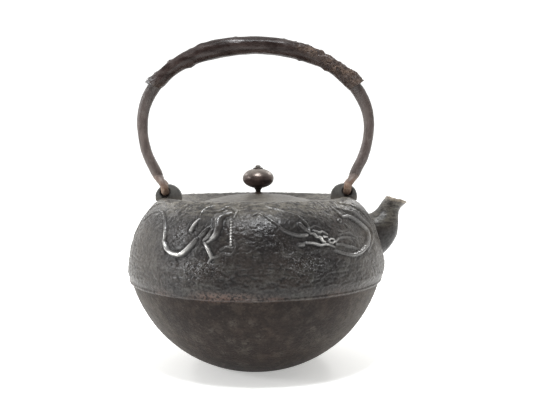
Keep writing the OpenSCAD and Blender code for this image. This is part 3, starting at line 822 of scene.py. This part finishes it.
def turned_part(name, outline, around=SMALL_AROUND, uneven=0.04):
    """Mesh of a small turned part on the mouth's axis, which has no marks."""
    grid = revolve(np.array(outline, float), around)
    skin, normal = listed(grid)
    return mesh_of_grid(name, grid, skin + normal * (uneven * noise(skin, 1.6, 61))[:, None]), {}


def knob_neck():
    """The flared neck under the bead."""
    low, high = heights("knob_neck")
    outline = [[PIN_BORE_R, low], [1.6, low], [1.75, low + 0.3], [1.72, low + 0.9], [2.0, low + 1.5],
               [2.5, low + 2.1], [2.65, high], [PIN_BORE_R, high]]
    return turned_part("knob_neck_worn", outline)


def knob_cap():
    """The cap on the bead, with six petals."""
    low, high = heights("knob_cap")
    a = np.linspace(0, 2 * np.pi, 2 * SMALL_AROUND, endpoint=False)[None, :]
    outline = np.array([
        (PIN_BORE_R, low), (2.6, low - 0.25), (2.95, low - 0.2), (2.95, low + 0.15), (2.5, low + 0.5),
        (2.0, high), (PIN_BORE_R, high),
    ])
    r, z = outline[:, :1], outline[:, 1:]
    spread = 1 + 0.12 * np.abs(np.cos(3 * a)) ** 0.7 * smoothstep(r, 1.6, 2.6)
    lifted = 0.12 * np.cos(3 * a + 0.6) * smoothstep(r, 1.6, 2.8)
    cap = np.stack([MOUTH_SHIFT + r * spread * np.cos(a), r * spread * np.sin(a), z + lifted], 2)
    return mesh_of_grid("knob_cap_worn", cap, cap.reshape(-1, 3)), {}


def rivet():
    """The rivet through the lid and the knob, spread over the washer and peened on the cap."""
    low, high = heights("knob_pin")
    washer_z, peen = heights("lid_washer")[0], high - 1.3
    pin = [[0.05, low], [1.2, low], [1.9, low + 0.35], [2.4, washer_z - 0.3], [2.4, washer_z],
           [PIN_R, washer_z], [PIN_R, peen - 0.02], [1.75, peen], [1.9, peen + 0.2], [1.8, peen + 0.6],
           [1.2, peen + 1.05], [0.5, high - 0.05], [0.05, high]]
    return turned_part("rivet_worn", pin, 40, 0.08)


def washer():
    """The washer under the lid."""
    low, high = heights("lid_washer")
    hole = PIN_R + 0.05
    outline = [[hole, low], [5.2, low], [5.5, low + 0.25], [5.5, high - 0.25], [5.2, high], [hole, high]]
    return turned_part("washer_worn", outline, 64, 0.05)


# ---------------------------------------------------------------- the handle

BOW_HALF_W, BOW_Z, BOW_H = 73.6, 153.5, 51.7
LEFT_SWELL, SWELL_START, SWELL_END = 1.6, 95, 178
SLEEVE_START = 29
SLEEVE_ROWS, BORE_ROWS, SLEEVE_AROUND = 330, 12, 104
# Half-thickness of the sleeve by distance from the middle, on the left and on the right
SLEEVE_HALF_X = (-70, -64, -58, -52, -45, -38, -27, -12, 0, 20, 36, 44, 52, 60, 66, 70)
SLEEVE_HALF = (5.2, 5.2, 4.6, 4.7, 5.2, 5.2, 6.0, 5.8, 5.6, 5.6, 5.1, 4.5, 4.5, 4.8, 5.0, 5.0)
BORE_HALF = 4.2
# Knots on the sleeve: x from the middle, degrees round it from its outer edge to the front, radius, rise
KNOTS = [
    (-66, 20, 3.2, 1.1), (-61, -5, 1.6, 0.7), (-53, 0, 1.5, 1.0), (-34, 10, 2.6, 0.7), (-40, 5, 1.4, 0.4),
    (-12, 0, 1.2, 0.35), (-3, 25, 1.0, 0.35), (18, 5, 1.1, 0.5), (25, 0, 1.1, 0.5), (29, 35, 2.6, 0.6),
    (33, 10, 1.8, 0.7), (40, 15, 2.4, 0.9), (46, 5, 2.0, 0.8), (52, 0, 2.2, 0.8), (57, 30, 3.0, 1.0),
    (61, 5, 3.0, 1.2), (66, 15, 3.4, 1.4), (47, 175, 1.8, 0.6), (30, 185, 1.6, 0.4), (-44, 180, 2.6, 0.6),
    (63, 75, 3.0, 0.7), (54, 80, 2.6, 0.6), (44, 70, 2.4, 0.6), (-67, 60, 2.4, 0.6), (36, 80, 2.2, 0.5),
]


def bow(t):
    """Centre line of the bow at angles t: points, and unit vectors out of it."""
    t = np.radians(t)
    zero = np.zeros_like(t)
    at = np.stack([BAIL_SHIFT + BOW_HALF_W * np.cos(t), zero, BOW_Z + BOW_H * np.sin(t)], -1)
    along = np.stack([-BOW_HALF_W * np.sin(t), zero, BOW_H * np.cos(t)], -1)
    along /= np.linalg.norm(along, axis=-1)[..., None]
    out = np.stack([along[..., 2], zero, -along[..., 0]], -1)
    swell = np.sin(np.pi * np.clip((np.degrees(t) - SWELL_START) / (SWELL_END - SWELL_START), 0, 1))
    return at + (LEFT_SWELL * swell)[..., None] * out, out


def sleeve():
    """Mesh and marks of the rolled sleeve: bark-like skin, eaten on the right, with stepped ragged ends."""
    phi = np.linspace(0, 2 * np.pi, SLEEVE_AROUND, endpoint=False)[None, :]
    right, left = SLEEVE_START, 180 - SLEEVE_START
    end_steps = np.array([0.25, 0.5, 0.75])
    outside, bore = np.linspace(right, left, SLEEVE_ROWS), np.linspace(left, right, BORE_ROWS)
    base_t = np.concatenate([outside, np.full(3, left), bore, np.full(3, right)])
    wall_share = np.concatenate([np.zeros(SLEEVE_ROWS), end_steps, np.ones(BORE_ROWS), end_steps[::-1]])
    near_right, near_left = (np.exp(-(((base_t - end) / 3.5) ** 2)) for end in (right, left))
    ring = 3 * np.concatenate([np.cos(phi), np.sin(phi), 0 * phi]).T
    ragged_right = 0.4 * noise(ring, 2.6, 71) - 0.5 * np.cos(phi[0])
    ragged_left = 0.9 * noise(ring, 2.4, 72) - 1.2 * np.cos(phi[0] - 0.4)
    t = base_t[:, None] + near_right[:, None] * ragged_right - near_left[:, None] * ragged_left
    at, out = bow(t)
    x = at[..., 0] - BAIL_SHIFT
    half = np.interp(x, SLEEVE_HALF_X, SLEEVE_HALF)
    inner_end = (near_right + near_left)[:, None] * smoothstep(-np.cos(phi), -0.1, 0.8)
    half = half - 0.9 * inner_end * (half - BORE_HALF)
    half = half + (BORE_HALF - half) * wall_share[:, None]
    to_front = np.array([0, -1.0, 0])
    direction = np.cos(phi)[..., None] * out + np.sin(phi)[..., None] * to_front
    skin = (at + half[..., None] * direction).reshape(-1, 3)
    on_skin = np.repeat(wall_share == 0, SLEEVE_AROUND)

    flat_x, flat_phi = x.reshape(-1), np.broadcast_to(phi, x.shape).reshape(-1)
    outward, front = np.cos(flat_phi), np.sin(flat_phi)
    unrolled = np.stack([np.radians(t.reshape(-1)) * 62, 5.4 * outward, 5.4 * front], 1)
    eaten = smoothstep(flat_x + 14 * noise(unrolled, 8, 73), 22, 46)
    eaten *= 0.55 + 0.45 * smoothstep(front, -0.6, 0.5)
    eaten *= 0.30 + 0.70 * smoothstep(outward + 0.5 * noise(unrolled, 5, 79), -0.7, 0.2)
    bark = 0.22 * noise(unrolled, (17, 3.4, 3.4), 74) + 0.10 * layered(unrolled, (7, 2, 2), 75)
    pits = np.clip(layered(unrolled, (2.6, 2.0, 2.0), 76), -1, 1)
    amount = bark + eaten * (0.40 * pits + 0.28 * crinkle(unrolled, (3.2, 2.4, 2.4), 77))
    for knot_x, degrees_round, radius, rise in KNOTS:
        turn = np.angle(np.exp(1j * (flat_phi - radians(degrees_round))))
        away = np.hypot(flat_x - knot_x, 5.5 * turn) / radius
        amount = amount + rise * np.exp(-(away**2)) * (1 + 0.3 * pits)
    ends = np.repeat(near_right + near_left, SLEEVE_AROUND)
    amount = amount + ends * (0.35 + 0.45 * noise(unrolled, 2.6, 78)) * smoothstep(outward, -0.4, 0.5)
    skin = skin + direction.reshape(-1, 3) * (amount * on_skin)[:, None]
    left_end = np.repeat(near_left, SLEEVE_AROUND)
    marks = {
        "eaten": eaten * on_skin,
        "high": np.clip(0.5 + amount, 0, 1) * on_skin,
        "lip": np.clip(1.4 * left_end * smoothstep(outward, -0.2, 0.6), 0, 1),
        "end": np.clip(ends, 0, 1),
    }
    quads = facing_out(skin, grid_quads(len(base_t), SLEEVE_AROUND, close_rows=True))
    return mesh_of("handle_sleeve", skin, quads), marks


def forged_leg(node):
    """Mesh and marks of a leg with its hook, from the CAD shape, with a hammered skin."""
    mesh = softened(node, 0.33, 4)
    at = points_of(mesh)
    on_leg = smoothstep(at[:, 2], 119, 124)
    hammered = 0.16 * noise(at, (6, 6, 11), 81) + 0.07 * layered(at, (2.4, 2.4, 4), 82)
    push(mesh, hammered * (0.25 + 0.75 * on_leg) + 0.14 * (1 - on_leg))
    at = points_of(mesh)
    marks = {
        "rust": 1 - smoothstep(at[:, 2] + 3 * noise(at, 5, 83), 111, 123),
        "soot": 1 - smoothstep(at[:, 2] + 0.6 * noise(at, 2, 84), 108.6, 112.6),
        "high": smoothstep(at[:, 2], 150, 182),
    }
    return mesh, marks


# ---------------------------------------------------------------- looks


class Look:
    """A material, built up in coats. The other methods add a node and return its output; sizes are in mm."""

    def __init__(self, name):
        self.material = bpy.data.materials.new(name)
        self.material.use_nodes = True
        self.nodes, self.links = self.material.node_tree.nodes, self.material.node_tree.links
        self.shader = self.nodes["Principled BSDF"]
        self.place = self.nodes.new("ShaderNodeTexCoord").outputs["Object"]
        self.colour = None

    def set(self, socket, value):
        """Links a node's output to the socket, or gives the socket a number or a colour."""
        if isinstance(value, bpy.types.NodeSocket):
            self.links.new(value, socket)
        elif isinstance(value, tuple) and len(value) == 3 and len(socket.default_value) == 4:
            socket.default_value = (*value, 1)
        else:
            socket.default_value = value

    def noise(self, size, detail=4, rough=0.55, stretch=None, warp=0.0):
        place = self.place
        if stretch:
            mapping = self.nodes.new("ShaderNodeMapping")
            mapping.inputs["Scale"].default_value = [1 / s for s in stretch]
            self.links.new(place, mapping.inputs["Vector"])
            place = mapping.outputs["Vector"]
        node = self.nodes.new("ShaderNodeTexNoise")
        self.links.new(place, node.inputs["Vector"])
        names = ("Scale", "Detail", "Roughness", "Distortion")
        for name, value in zip(names, (1 / (size * MM), detail, rough, warp)):
            node.inputs[name].default_value = value
        return node.outputs["Fac"]

    def cells(self, size):
        node = self.nodes.new("ShaderNodeTexVoronoi")
        self.links.new(self.place, node.inputs["Vector"])
        node.inputs["Scale"].default_value = 1 / (size * MM)
        return node.outputs["Distance"]

    def mark(self, name):
        node = self.nodes.new("ShaderNodeAttribute")
        node.attribute_name = name
        return node.outputs["Fac"]

    def between(self, value, low, high, to_low=0.0, to_high=1.0):
        """A value that goes smoothly from to_low to to_high while another goes from low to high."""
        node = self.nodes.new("ShaderNodeMapRange")
        node.interpolation_type = "SMOOTHSTEP"
        for socket, number in zip(node.inputs[:5], (value, low, high, to_low, to_high)):
            self.set(socket, number)
        return node.outputs["Result"]

    def math(self, operation, a, b):
        node = self.nodes.new("ShaderNodeMath")
        node.operation = operation
        self.set(node.inputs[0], a)
        self.set(node.inputs[1], b)
        return node.outputs[0]

    def where(self, mark, value, *spread):
        """A mark's value times another, which is put through between() if a spread is given."""
        return self.math("MULTIPLY", self.mark(mark), self.between(value, *spread) if spread else value)

    def mix(self, share, a, b):
        """A colour that goes from a to b."""
        node = self.nodes.new("ShaderNodeMix")
        node.data_type = "RGBA"
        for name, value in (("Factor_Float", share), ("A_Color", a), ("B_Color", b)):
            self.set(next(s for s in node.inputs if s.identifier == name), value)
        return next(s for s in node.outputs if s.identifier == "Result_Color")

    def blend(self, share, a, b):
        """A number that goes from a to b."""
        node = self.nodes.new("ShaderNodeMix")
        for socket, value in zip((node.inputs[0], node.inputs[2], node.inputs[3]), (share, a, b)):
            self.set(socket, value)
        return node.outputs[0]

    def coat(self, colour, share):
        """Lays a colour over the material's own, as far as share says."""
        self.colour = self.mix(share, self.colour, colour)

    def bump(self, height, rise, strength=1.0):
        """A bump of that rise, put over any earlier one."""
        node = self.nodes.new("ShaderNodeBump")
        node.inputs["Strength"].default_value = strength
        node.inputs["Distance"].default_value = rise * MM
        self.links.new(height, node.inputs["Height"])
        earlier = self.shader.inputs["Normal"].links
        if earlier:
            self.links.new(earlier[0].from_socket, node.inputs["Normal"])
        self.links.new(node.outputs["Normal"], self.shader.inputs["Normal"])

    def finish(self, roughness, metallic=0.0, specular=0.5):
        names = ("Base Color", "Roughness", "Metallic", "Specular IOR Level")
        for name, value in zip(names, (self.colour, roughness, metallic, specular)):
            self.set(self.shader.inputs[name], value)
        return self.material


def body_iron():
    """Cast iron of the bowl and the spout: oiled above the seam, burnt below it, rusty inside."""
    look = Look("body_iron")
    broad, middle, small = look.noise(22, 5), look.noise(6, 6, 0.6), look.noise(1.5, 5, 0.65)
    grain, brushed = look.noise(0.9, 4, 0.7), look.noise(5, 6, 0.65, stretch=(1, 1, 0.3))
    scale = look.between(look.noise(2.0, 5, 0.75), 0.55, 0.70, 0, 0.6)
    burnt = look.mix(look.between(middle, 0.40, 0.66), (0.0140, 0.0085, 0.0068), (0.028, 0.0190, 0.0145))
    burnt = look.mix(scale, burnt, (0.066, 0.051, 0.040))
    rust = look.mix(look.between(middle, 0.35, 0.65), (0.085, 0.030, 0.014), (0.170, 0.075, 0.032))
    worn = look.where("worn", small, 0.36, 0.56, 0.3, 1.0)
    look.colour = look.mix(look.between(broad, 0.38, 0.62), (0.0075, 0.0055, 0.0052), (0.020, 0.0150, 0.0125))
    look.coat((0.040, 0.038, 0.033), look.between(middle, 0.48, 0.70, 0, 0.7))
    look.coat(burnt, look.where("lower", broad, 0.3, 0.7, 0.55, 1.0))
    look.coat((0.050, 0.047, 0.045), look.where("relief", 0.5))
    # painted shade: nearly black in the bowl's creases, at the feet of its raised lines, and under the spout
    look.coat((0.005, 0.004, 0.004), look.where("hollow", 0.85))
    # painted sheen: a lighter coat towards the left and right edges of the bowl
    look.coat((0.120, 0.104, 0.086), look.where("ash", middle, 0.34, 0.62, 0.22, 0.42))
    look.coat((0.105, 0.094, 0.076), look.where("top", brushed, 0.40, 0.60, 0.10, 1.0))
    look.coat((0.066, 0.050, 0.040), look.where("seam", middle, 0.38, 0.6, 0.0, 0.45))
    look.coat((0.110, 0.062, 0.046), look.where("rusty", small, 0.42, 0.58, 0.05, 0.8))
    look.coat((0.070, 0.060, 0.050), look.where("pale", small, 0.36, 0.6, 0.0, 0.55))
    look.coat((0.260, 0.215, 0.165), look.where("lip", middle, 0.3, 0.6, 0.4, 0.9))
    look.coat((0.060, 0.055, 0.050), look.between(grain, 0.58, 0.72, 0, 0.35))
    look.coat((0.004, 0.0034, 0.0032), look.between(small, 0.34, 0.46, 0.4, 0.0))
    # painted glints: whitish specks over the coarse patches
    look.coat((0.200, 0.200, 0.205), look.where("coarse", grain, 0.56, 0.64))
    look.coat((0.80, 0.78, 0.75), worn)
    look.coat(rust, look.mark("inside"))
    glint = look.math("ADD", look.where("relief", 0.7), look.where("coarse", 0.6))
    roughness = look.between(small, 0.25, 0.75, 0.50, 0.32)
    roughness = look.math("SUBTRACT", roughness, look.math("MULTIPLY", glint, 0.26))
    roughness = look.blend(look.mark("inside"), roughness, 0.85)
    roughness = look.blend(look.where("lower", 0.8), roughness, 0.62)
    plain = look.math("SUBTRACT", 1.0, look.where("relief", 0.8))
    look.bump(middle, 0.40, 0.7)
    look.bump(look.math("MULTIPLY", look.noise(1.8, 4, 0.6, warp=0.6), plain), 0.30)
    look.bump(look.math("MULTIPLY", look.cells(1.1), plain), 0.10, 0.8)
    specular = look.blend(look.mark("relief"), look.between(small, 0.34, 0.62, 0.26, 0.40), 1.0)
    specular = look.blend(look.mark("lower"), specular, 0.14)
    return look.finish(roughness, look.math("MULTIPLY", worn, 0.9), specular)


def lug_iron():
    look = Look("lug_iron")
    middle, small = look.noise(4, 6, 0.6), look.noise(1.1, 5, 0.65)
    look.colour = look.mix(look.between(middle, 0.35, 0.65), (0.072, 0.070, 0.066), (0.118, 0.113, 0.103))
    look.coat((0.105, 0.090, 0.072), look.where("foot", 0.6))
    look.coat((0.125, 0.123, 0.115), look.where("rim", 0.5))
    look.coat((0.120, 0.070, 0.042), look.between(small, 0.60, 0.75, 0, 0.7))
    # painted shade: nearly black round the hook's hole
    look.coat((0.014, 0.009, 0.007), look.where("hole", 0.9))
    look.bump(small, 0.12, 0.7)
    look.bump(middle, 0.25, 0.4)
    return look.finish(look.between(small, 0.3, 0.7, 0.42, 0.62), 0.0, 0.55)


def lid_iron():
    look = Look("lid_iron")
    broad, middle, small = look.noise(16, 5), look.noise(4.5, 6, 0.6), look.noise(1.3, 5, 0.65)
    rust = look.mix(look.between(middle, 0.35, 0.65), (0.080, 0.032, 0.016), (0.150, 0.070, 0.034))
    look.colour = look.mix(look.between(broad, 0.35, 0.65), (0.050, 0.044, 0.038), (0.078, 0.070, 0.058))
    look.coat((0.125, 0.112, 0.090), look.between(middle, 0.48, 0.7, 0, 0.7))
    look.coat((0.120, 0.115, 0.105), look.where("relief", 0.4))
    look.coat((0.075, 0.045, 0.032), look.where("stain", 0.8))
    look.coat(rust, look.mark("inside"))
    look.bump(middle, 0.22, 0.5)
    look.bump(small, 0.12, 0.8)
    return look.finish(look.between(small, 0.3, 0.7, 0.42, 0.60), 0.0, 0.55)


def rivet_iron():
    look = Look("rivet_iron")
    small = look.noise(0.9, 5, 0.65)
    look.colour = look.mix(look.between(small, 0.4, 0.65), (0.085, 0.085, 0.080), (0.120, 0.090, 0.065))
    look.bump(small, 0.08, 0.7)
    return look.finish(look.between(small, 0.3, 0.7, 0.35, 0.55), 0.25)


def knob_bronze():
    look = Look("knob_bronze")
    broad, small = look.noise(6, 5, 0.6), look.noise(1.4, 5, 0.6)
    look.colour = look.mix(look.between(broad, 0.38, 0.64), (0.036, 0.022, 0.020), (0.080, 0.050, 0.042))
    look.coat((0.160, 0.135, 0.115), look.where("high", broad, 0.30, 0.60, 0.55, 1.0))
    look.coat((0.026, 0.016, 0.015), look.between(small, 0.60, 0.72, 0, 0.6))
    look.bump(small, 0.08, 0.6)
    return look.finish(look.between(small, 0.3, 0.7, 0.30, 0.44), 0.45)


def dark_bronze():
    look = Look("dark_bronze")
    small = look.noise(1.0, 5, 0.6)
    look.colour = look.mix(look.between(small, 0.35, 0.65), (0.014, 0.010, 0.009), (0.050, 0.034, 0.026))
    look.bump(small, 0.06, 0.6)
    return look.finish(look.between(small, 0.3, 0.7, 0.35, 0.55), 0.3)


def grip_iron():
    look = Look("grip_iron")
    long = look.noise(5, 5, 0.6, stretch=(3, 1, 1))
    middle, small = look.noise(3.2, 6, 0.62), look.noise(0.9, 5, 0.7)
    rust = look.mix(look.between(small, 0.38, 0.62), (0.055, 0.034, 0.025), (0.145, 0.105, 0.082))
    rust = look.mix(look.between(middle, 0.46, 0.58, 0, 0.85), rust, (0.022, 0.016, 0.014))
    look.colour = look.mix(look.between(long, 0.35, 0.65), (0.014, 0.0085, 0.0075), (0.030, 0.0185, 0.0160))
    look.coat((0.060, 0.046, 0.040), look.where("high", middle, 0.5, 0.72, 0, 0.5))
    look.coat(rust, look.where("eaten", long, 0.38, 0.56, 1.0, 0.35))
    look.coat((0.100, 0.072, 0.056), look.where("end", small, 0.4, 0.65, 0.1, 0.7))
    look.coat((0.150, 0.152, 0.155), look.where("lip", small, 0.42, 0.58))
    roughness = look.between(middle, 0.3, 0.7, 0.30, 0.46)
    roughness = look.blend(look.where("eaten", small, 0.4, 0.6, 0.4, 1.0), roughness, 0.66)
    look.bump(middle, 0.25, 0.4)
    look.bump(small, 0.12, 0.7)
    return look.finish(roughness, 0.0, look.between(long, 0.35, 0.65, 0.10, 0.36))


def leg_iron():
    look = Look("leg_iron")
    long = look.noise(4, 5, 0.6, stretch=(1, 1, 3))
    middle, small = look.noise(2.6, 6, 0.62), look.noise(0.8, 5, 0.7)
    rust = look.mix(look.between(middle, 0.35, 0.6), (0.170, 0.085, 0.050), (0.310, 0.220, 0.160))
    look.colour = look.mix(look.between(long, 0.35, 0.65), (0.046, 0.031, 0.027), (0.088, 0.066, 0.058))
    look.coat((0.125, 0.108, 0.096), look.between(middle, 0.55, 0.72, 0, 0.7))
    look.coat((0.028, 0.020, 0.018), look.between(small, 0.60, 0.72, 0, 0.6))
    look.coat((0.030, 0.021, 0.018), look.where("high", 0.8))
    look.coat(rust, look.where("rust", small, 0.25, 0.6, 0.6, 1.0))
    look.coat((0.050, 0.024, 0.015), look.where("soot", 0.8))
    look.bump(middle, 0.2, 0.5)
    look.bump(small, 0.12, 0.7)
    roughness = look.blend(look.mark("rust"), look.between(small, 0.3, 0.7, 0.38, 0.56), 0.75)
    return look.finish(roughness, 0.0, 0.55)


# ---------------------------------------------------------------- the kettle

IRON, LUG, LID, RIVET = body_iron(), lug_iron(), lid_iron(), rivet_iron()
BRONZE, DARK, GRIP, LEG = knob_bronze(), dark_bronze(), grip_iron(), leg_iron()

show("kettle_bowl", *cast_bowl(), IRON, "kettle", "body_iron", "kettle_body")
show("kettle_spout", *cast_spout(), IRON, "kettle", "body_iron", "spout")
for side in ("left", "right"):
    lug, leg = "lug_" + side, "handle_leg_" + side
    show("cast_lug_" + side, *cast_lug(lug), LUG, "kettle", "lug_iron", lug)
    show("forged_leg_" + side, *forged_leg(leg), LEG, "handle", "forged_iron", leg)
show("handle_sleeve", *sleeve(), GRIP, "handle", "forged_iron", "handle_grip")
show("kettle_lid", *cast_lid(), LID, "lid", "lid_iron", "lid")
show("knob_bead_worn", *knob_bead(), BRONZE, "knob", "knob_bronze", "knob_bead")
show("knob_neck_worn", *knob_neck(), DARK, "knob", "dark_bronze", "knob_neck")
show("knob_cap_worn", *knob_cap(), DARK, "knob", "dark_bronze", "knob_cap")
show("rivet_worn", *rivet(), RIVET, "lid", "rivet_iron", "knob_pin")
show("washer_worn", *washer(), RIVET, "lid", "rivet_iron", "lid_washer")


# ---------------------------------------------------------------- floor, lights and camera

# These are in metres and degrees
FLOOR_HALF = 30
KETTLE_MIDDLE = (0, 0, 0.09)
# From where to where in Y the floor's glow comes in, and how strong it is
GLOW_FROM, GLOW_TO, GLOW = -0.45, -0.10, 0.42
# Between these two directions in Y the surround goes from the first strength to the second
ROOM_SHADE = (-0.72, 0.05, 0.06, 1.20)
CAMERA_AT, CAMERA_TILT, CAMERA_ROLL = (0.0072, -0.440, 0.1320), 86.52, -0.32


def white_floor():
    """A white floor that glows a little behind the kettle's front."""
    mesh = bpy.data.meshes.new("floor")
    corners = [(x * FLOOR_HALF, y * FLOOR_HALF, 0) for x, y in ((-1, -1), (1, -1), (1, 1), (-1, 1))]
    mesh.from_pydata(corners, [], [(0, 1, 2, 3)])
    floor = bpy.data.objects.new("floor", mesh)
    bpy.context.scene.collection.objects.link(floor)
    look = Look("floor_white")
    split = look.nodes.new("ShaderNodeSeparateXYZ")
    look.set(split.inputs[0], look.place)
    look.shader.inputs["Emission Color"].default_value = (1, 1, 0.985, 1)
    glow = look.between(split.outputs["Y"], GLOW_FROM, GLOW_TO, 0.0, GLOW)
    look.set(look.shader.inputs["Emission Strength"], glow)
    look.colour = (0.93, 0.93, 0.915)
    mesh.materials.append(look.finish(0.9, 0.0, 0.2))


def soft_lamp(name, at, size, power, colour=(1, 1, 1)):
    """A square lamp that faces the middle of the kettle."""
    lamp = bpy.data.lights.new(name, "AREA")
    lamp.size, lamp.energy, lamp.color = size, power, colour
    obj = bpy.data.objects.new(name, lamp)
    bpy.context.scene.collection.objects.link(obj)
    aim = Vector(KETTLE_MIDDLE) - Vector(at)
    obj.matrix_world = Matrix.Translation(at) @ aim.to_track_quat("-Z", "Y").to_matrix().to_4x4()


def white_room():
    """An even white surround, darker on the side that the camera is on."""
    world = bpy.data.worlds.new("white_room")
    bpy.context.scene.world = world
    world.use_nodes = True
    nodes, links = world.node_tree.nodes, world.node_tree.links
    place, split = nodes.new("ShaderNodeTexCoord"), nodes.new("ShaderNodeSeparateXYZ")
    shade = nodes.new("ShaderNodeMapRange")
    shade.interpolation_type = "SMOOTHSTEP"
    for socket, value in zip(shade.inputs[1:5], ROOM_SHADE):
        socket.default_value = value
    links.new(place.outputs["Generated"], split.inputs[0])
    links.new(split.outputs["Y"], shade.inputs[0])
    links.new(shade.outputs["Result"], nodes["Background"].inputs["Strength"])
    nodes["Background"].inputs["Color"].default_value = (1.0, 1.0, 0.99, 1)


white_floor()
white_room()
soft_lamp("overhead", (-0.05, -0.48, 1.12), 0.16, 14.0, (0.96, 0.98, 1.0))
soft_lamp("behind_left", (-0.77, 0.66, 0.72), 0.16, 2.2)
soft_lamp("behind_right", (0.60, 0.75, 0.75), 0.20, 3.0)
soft_lamp("window", (-1.1, -0.25, 0.45), 0.24, 5.0, (0.97, 0.98, 1.0))

camera = bpy.data.objects.new("camera", bpy.data.cameras.new("camera"))
camera.data.sensor_width = 36
camera.data.lens = 45.5
camera.data.clip_end = 50
bpy.context.scene.collection.objects.link(camera)
camera.matrix_world = (
    Matrix.Translation(CAMERA_AT)
    @ Matrix.Rotation(radians(CAMERA_TILT), 4, "X")
    @ Matrix.Rotation(radians(CAMERA_ROLL), 4, "Z")
)
bpy.context.scene.camera = camera
bpy.context.scene.view_settings.view_transform = "Standard"
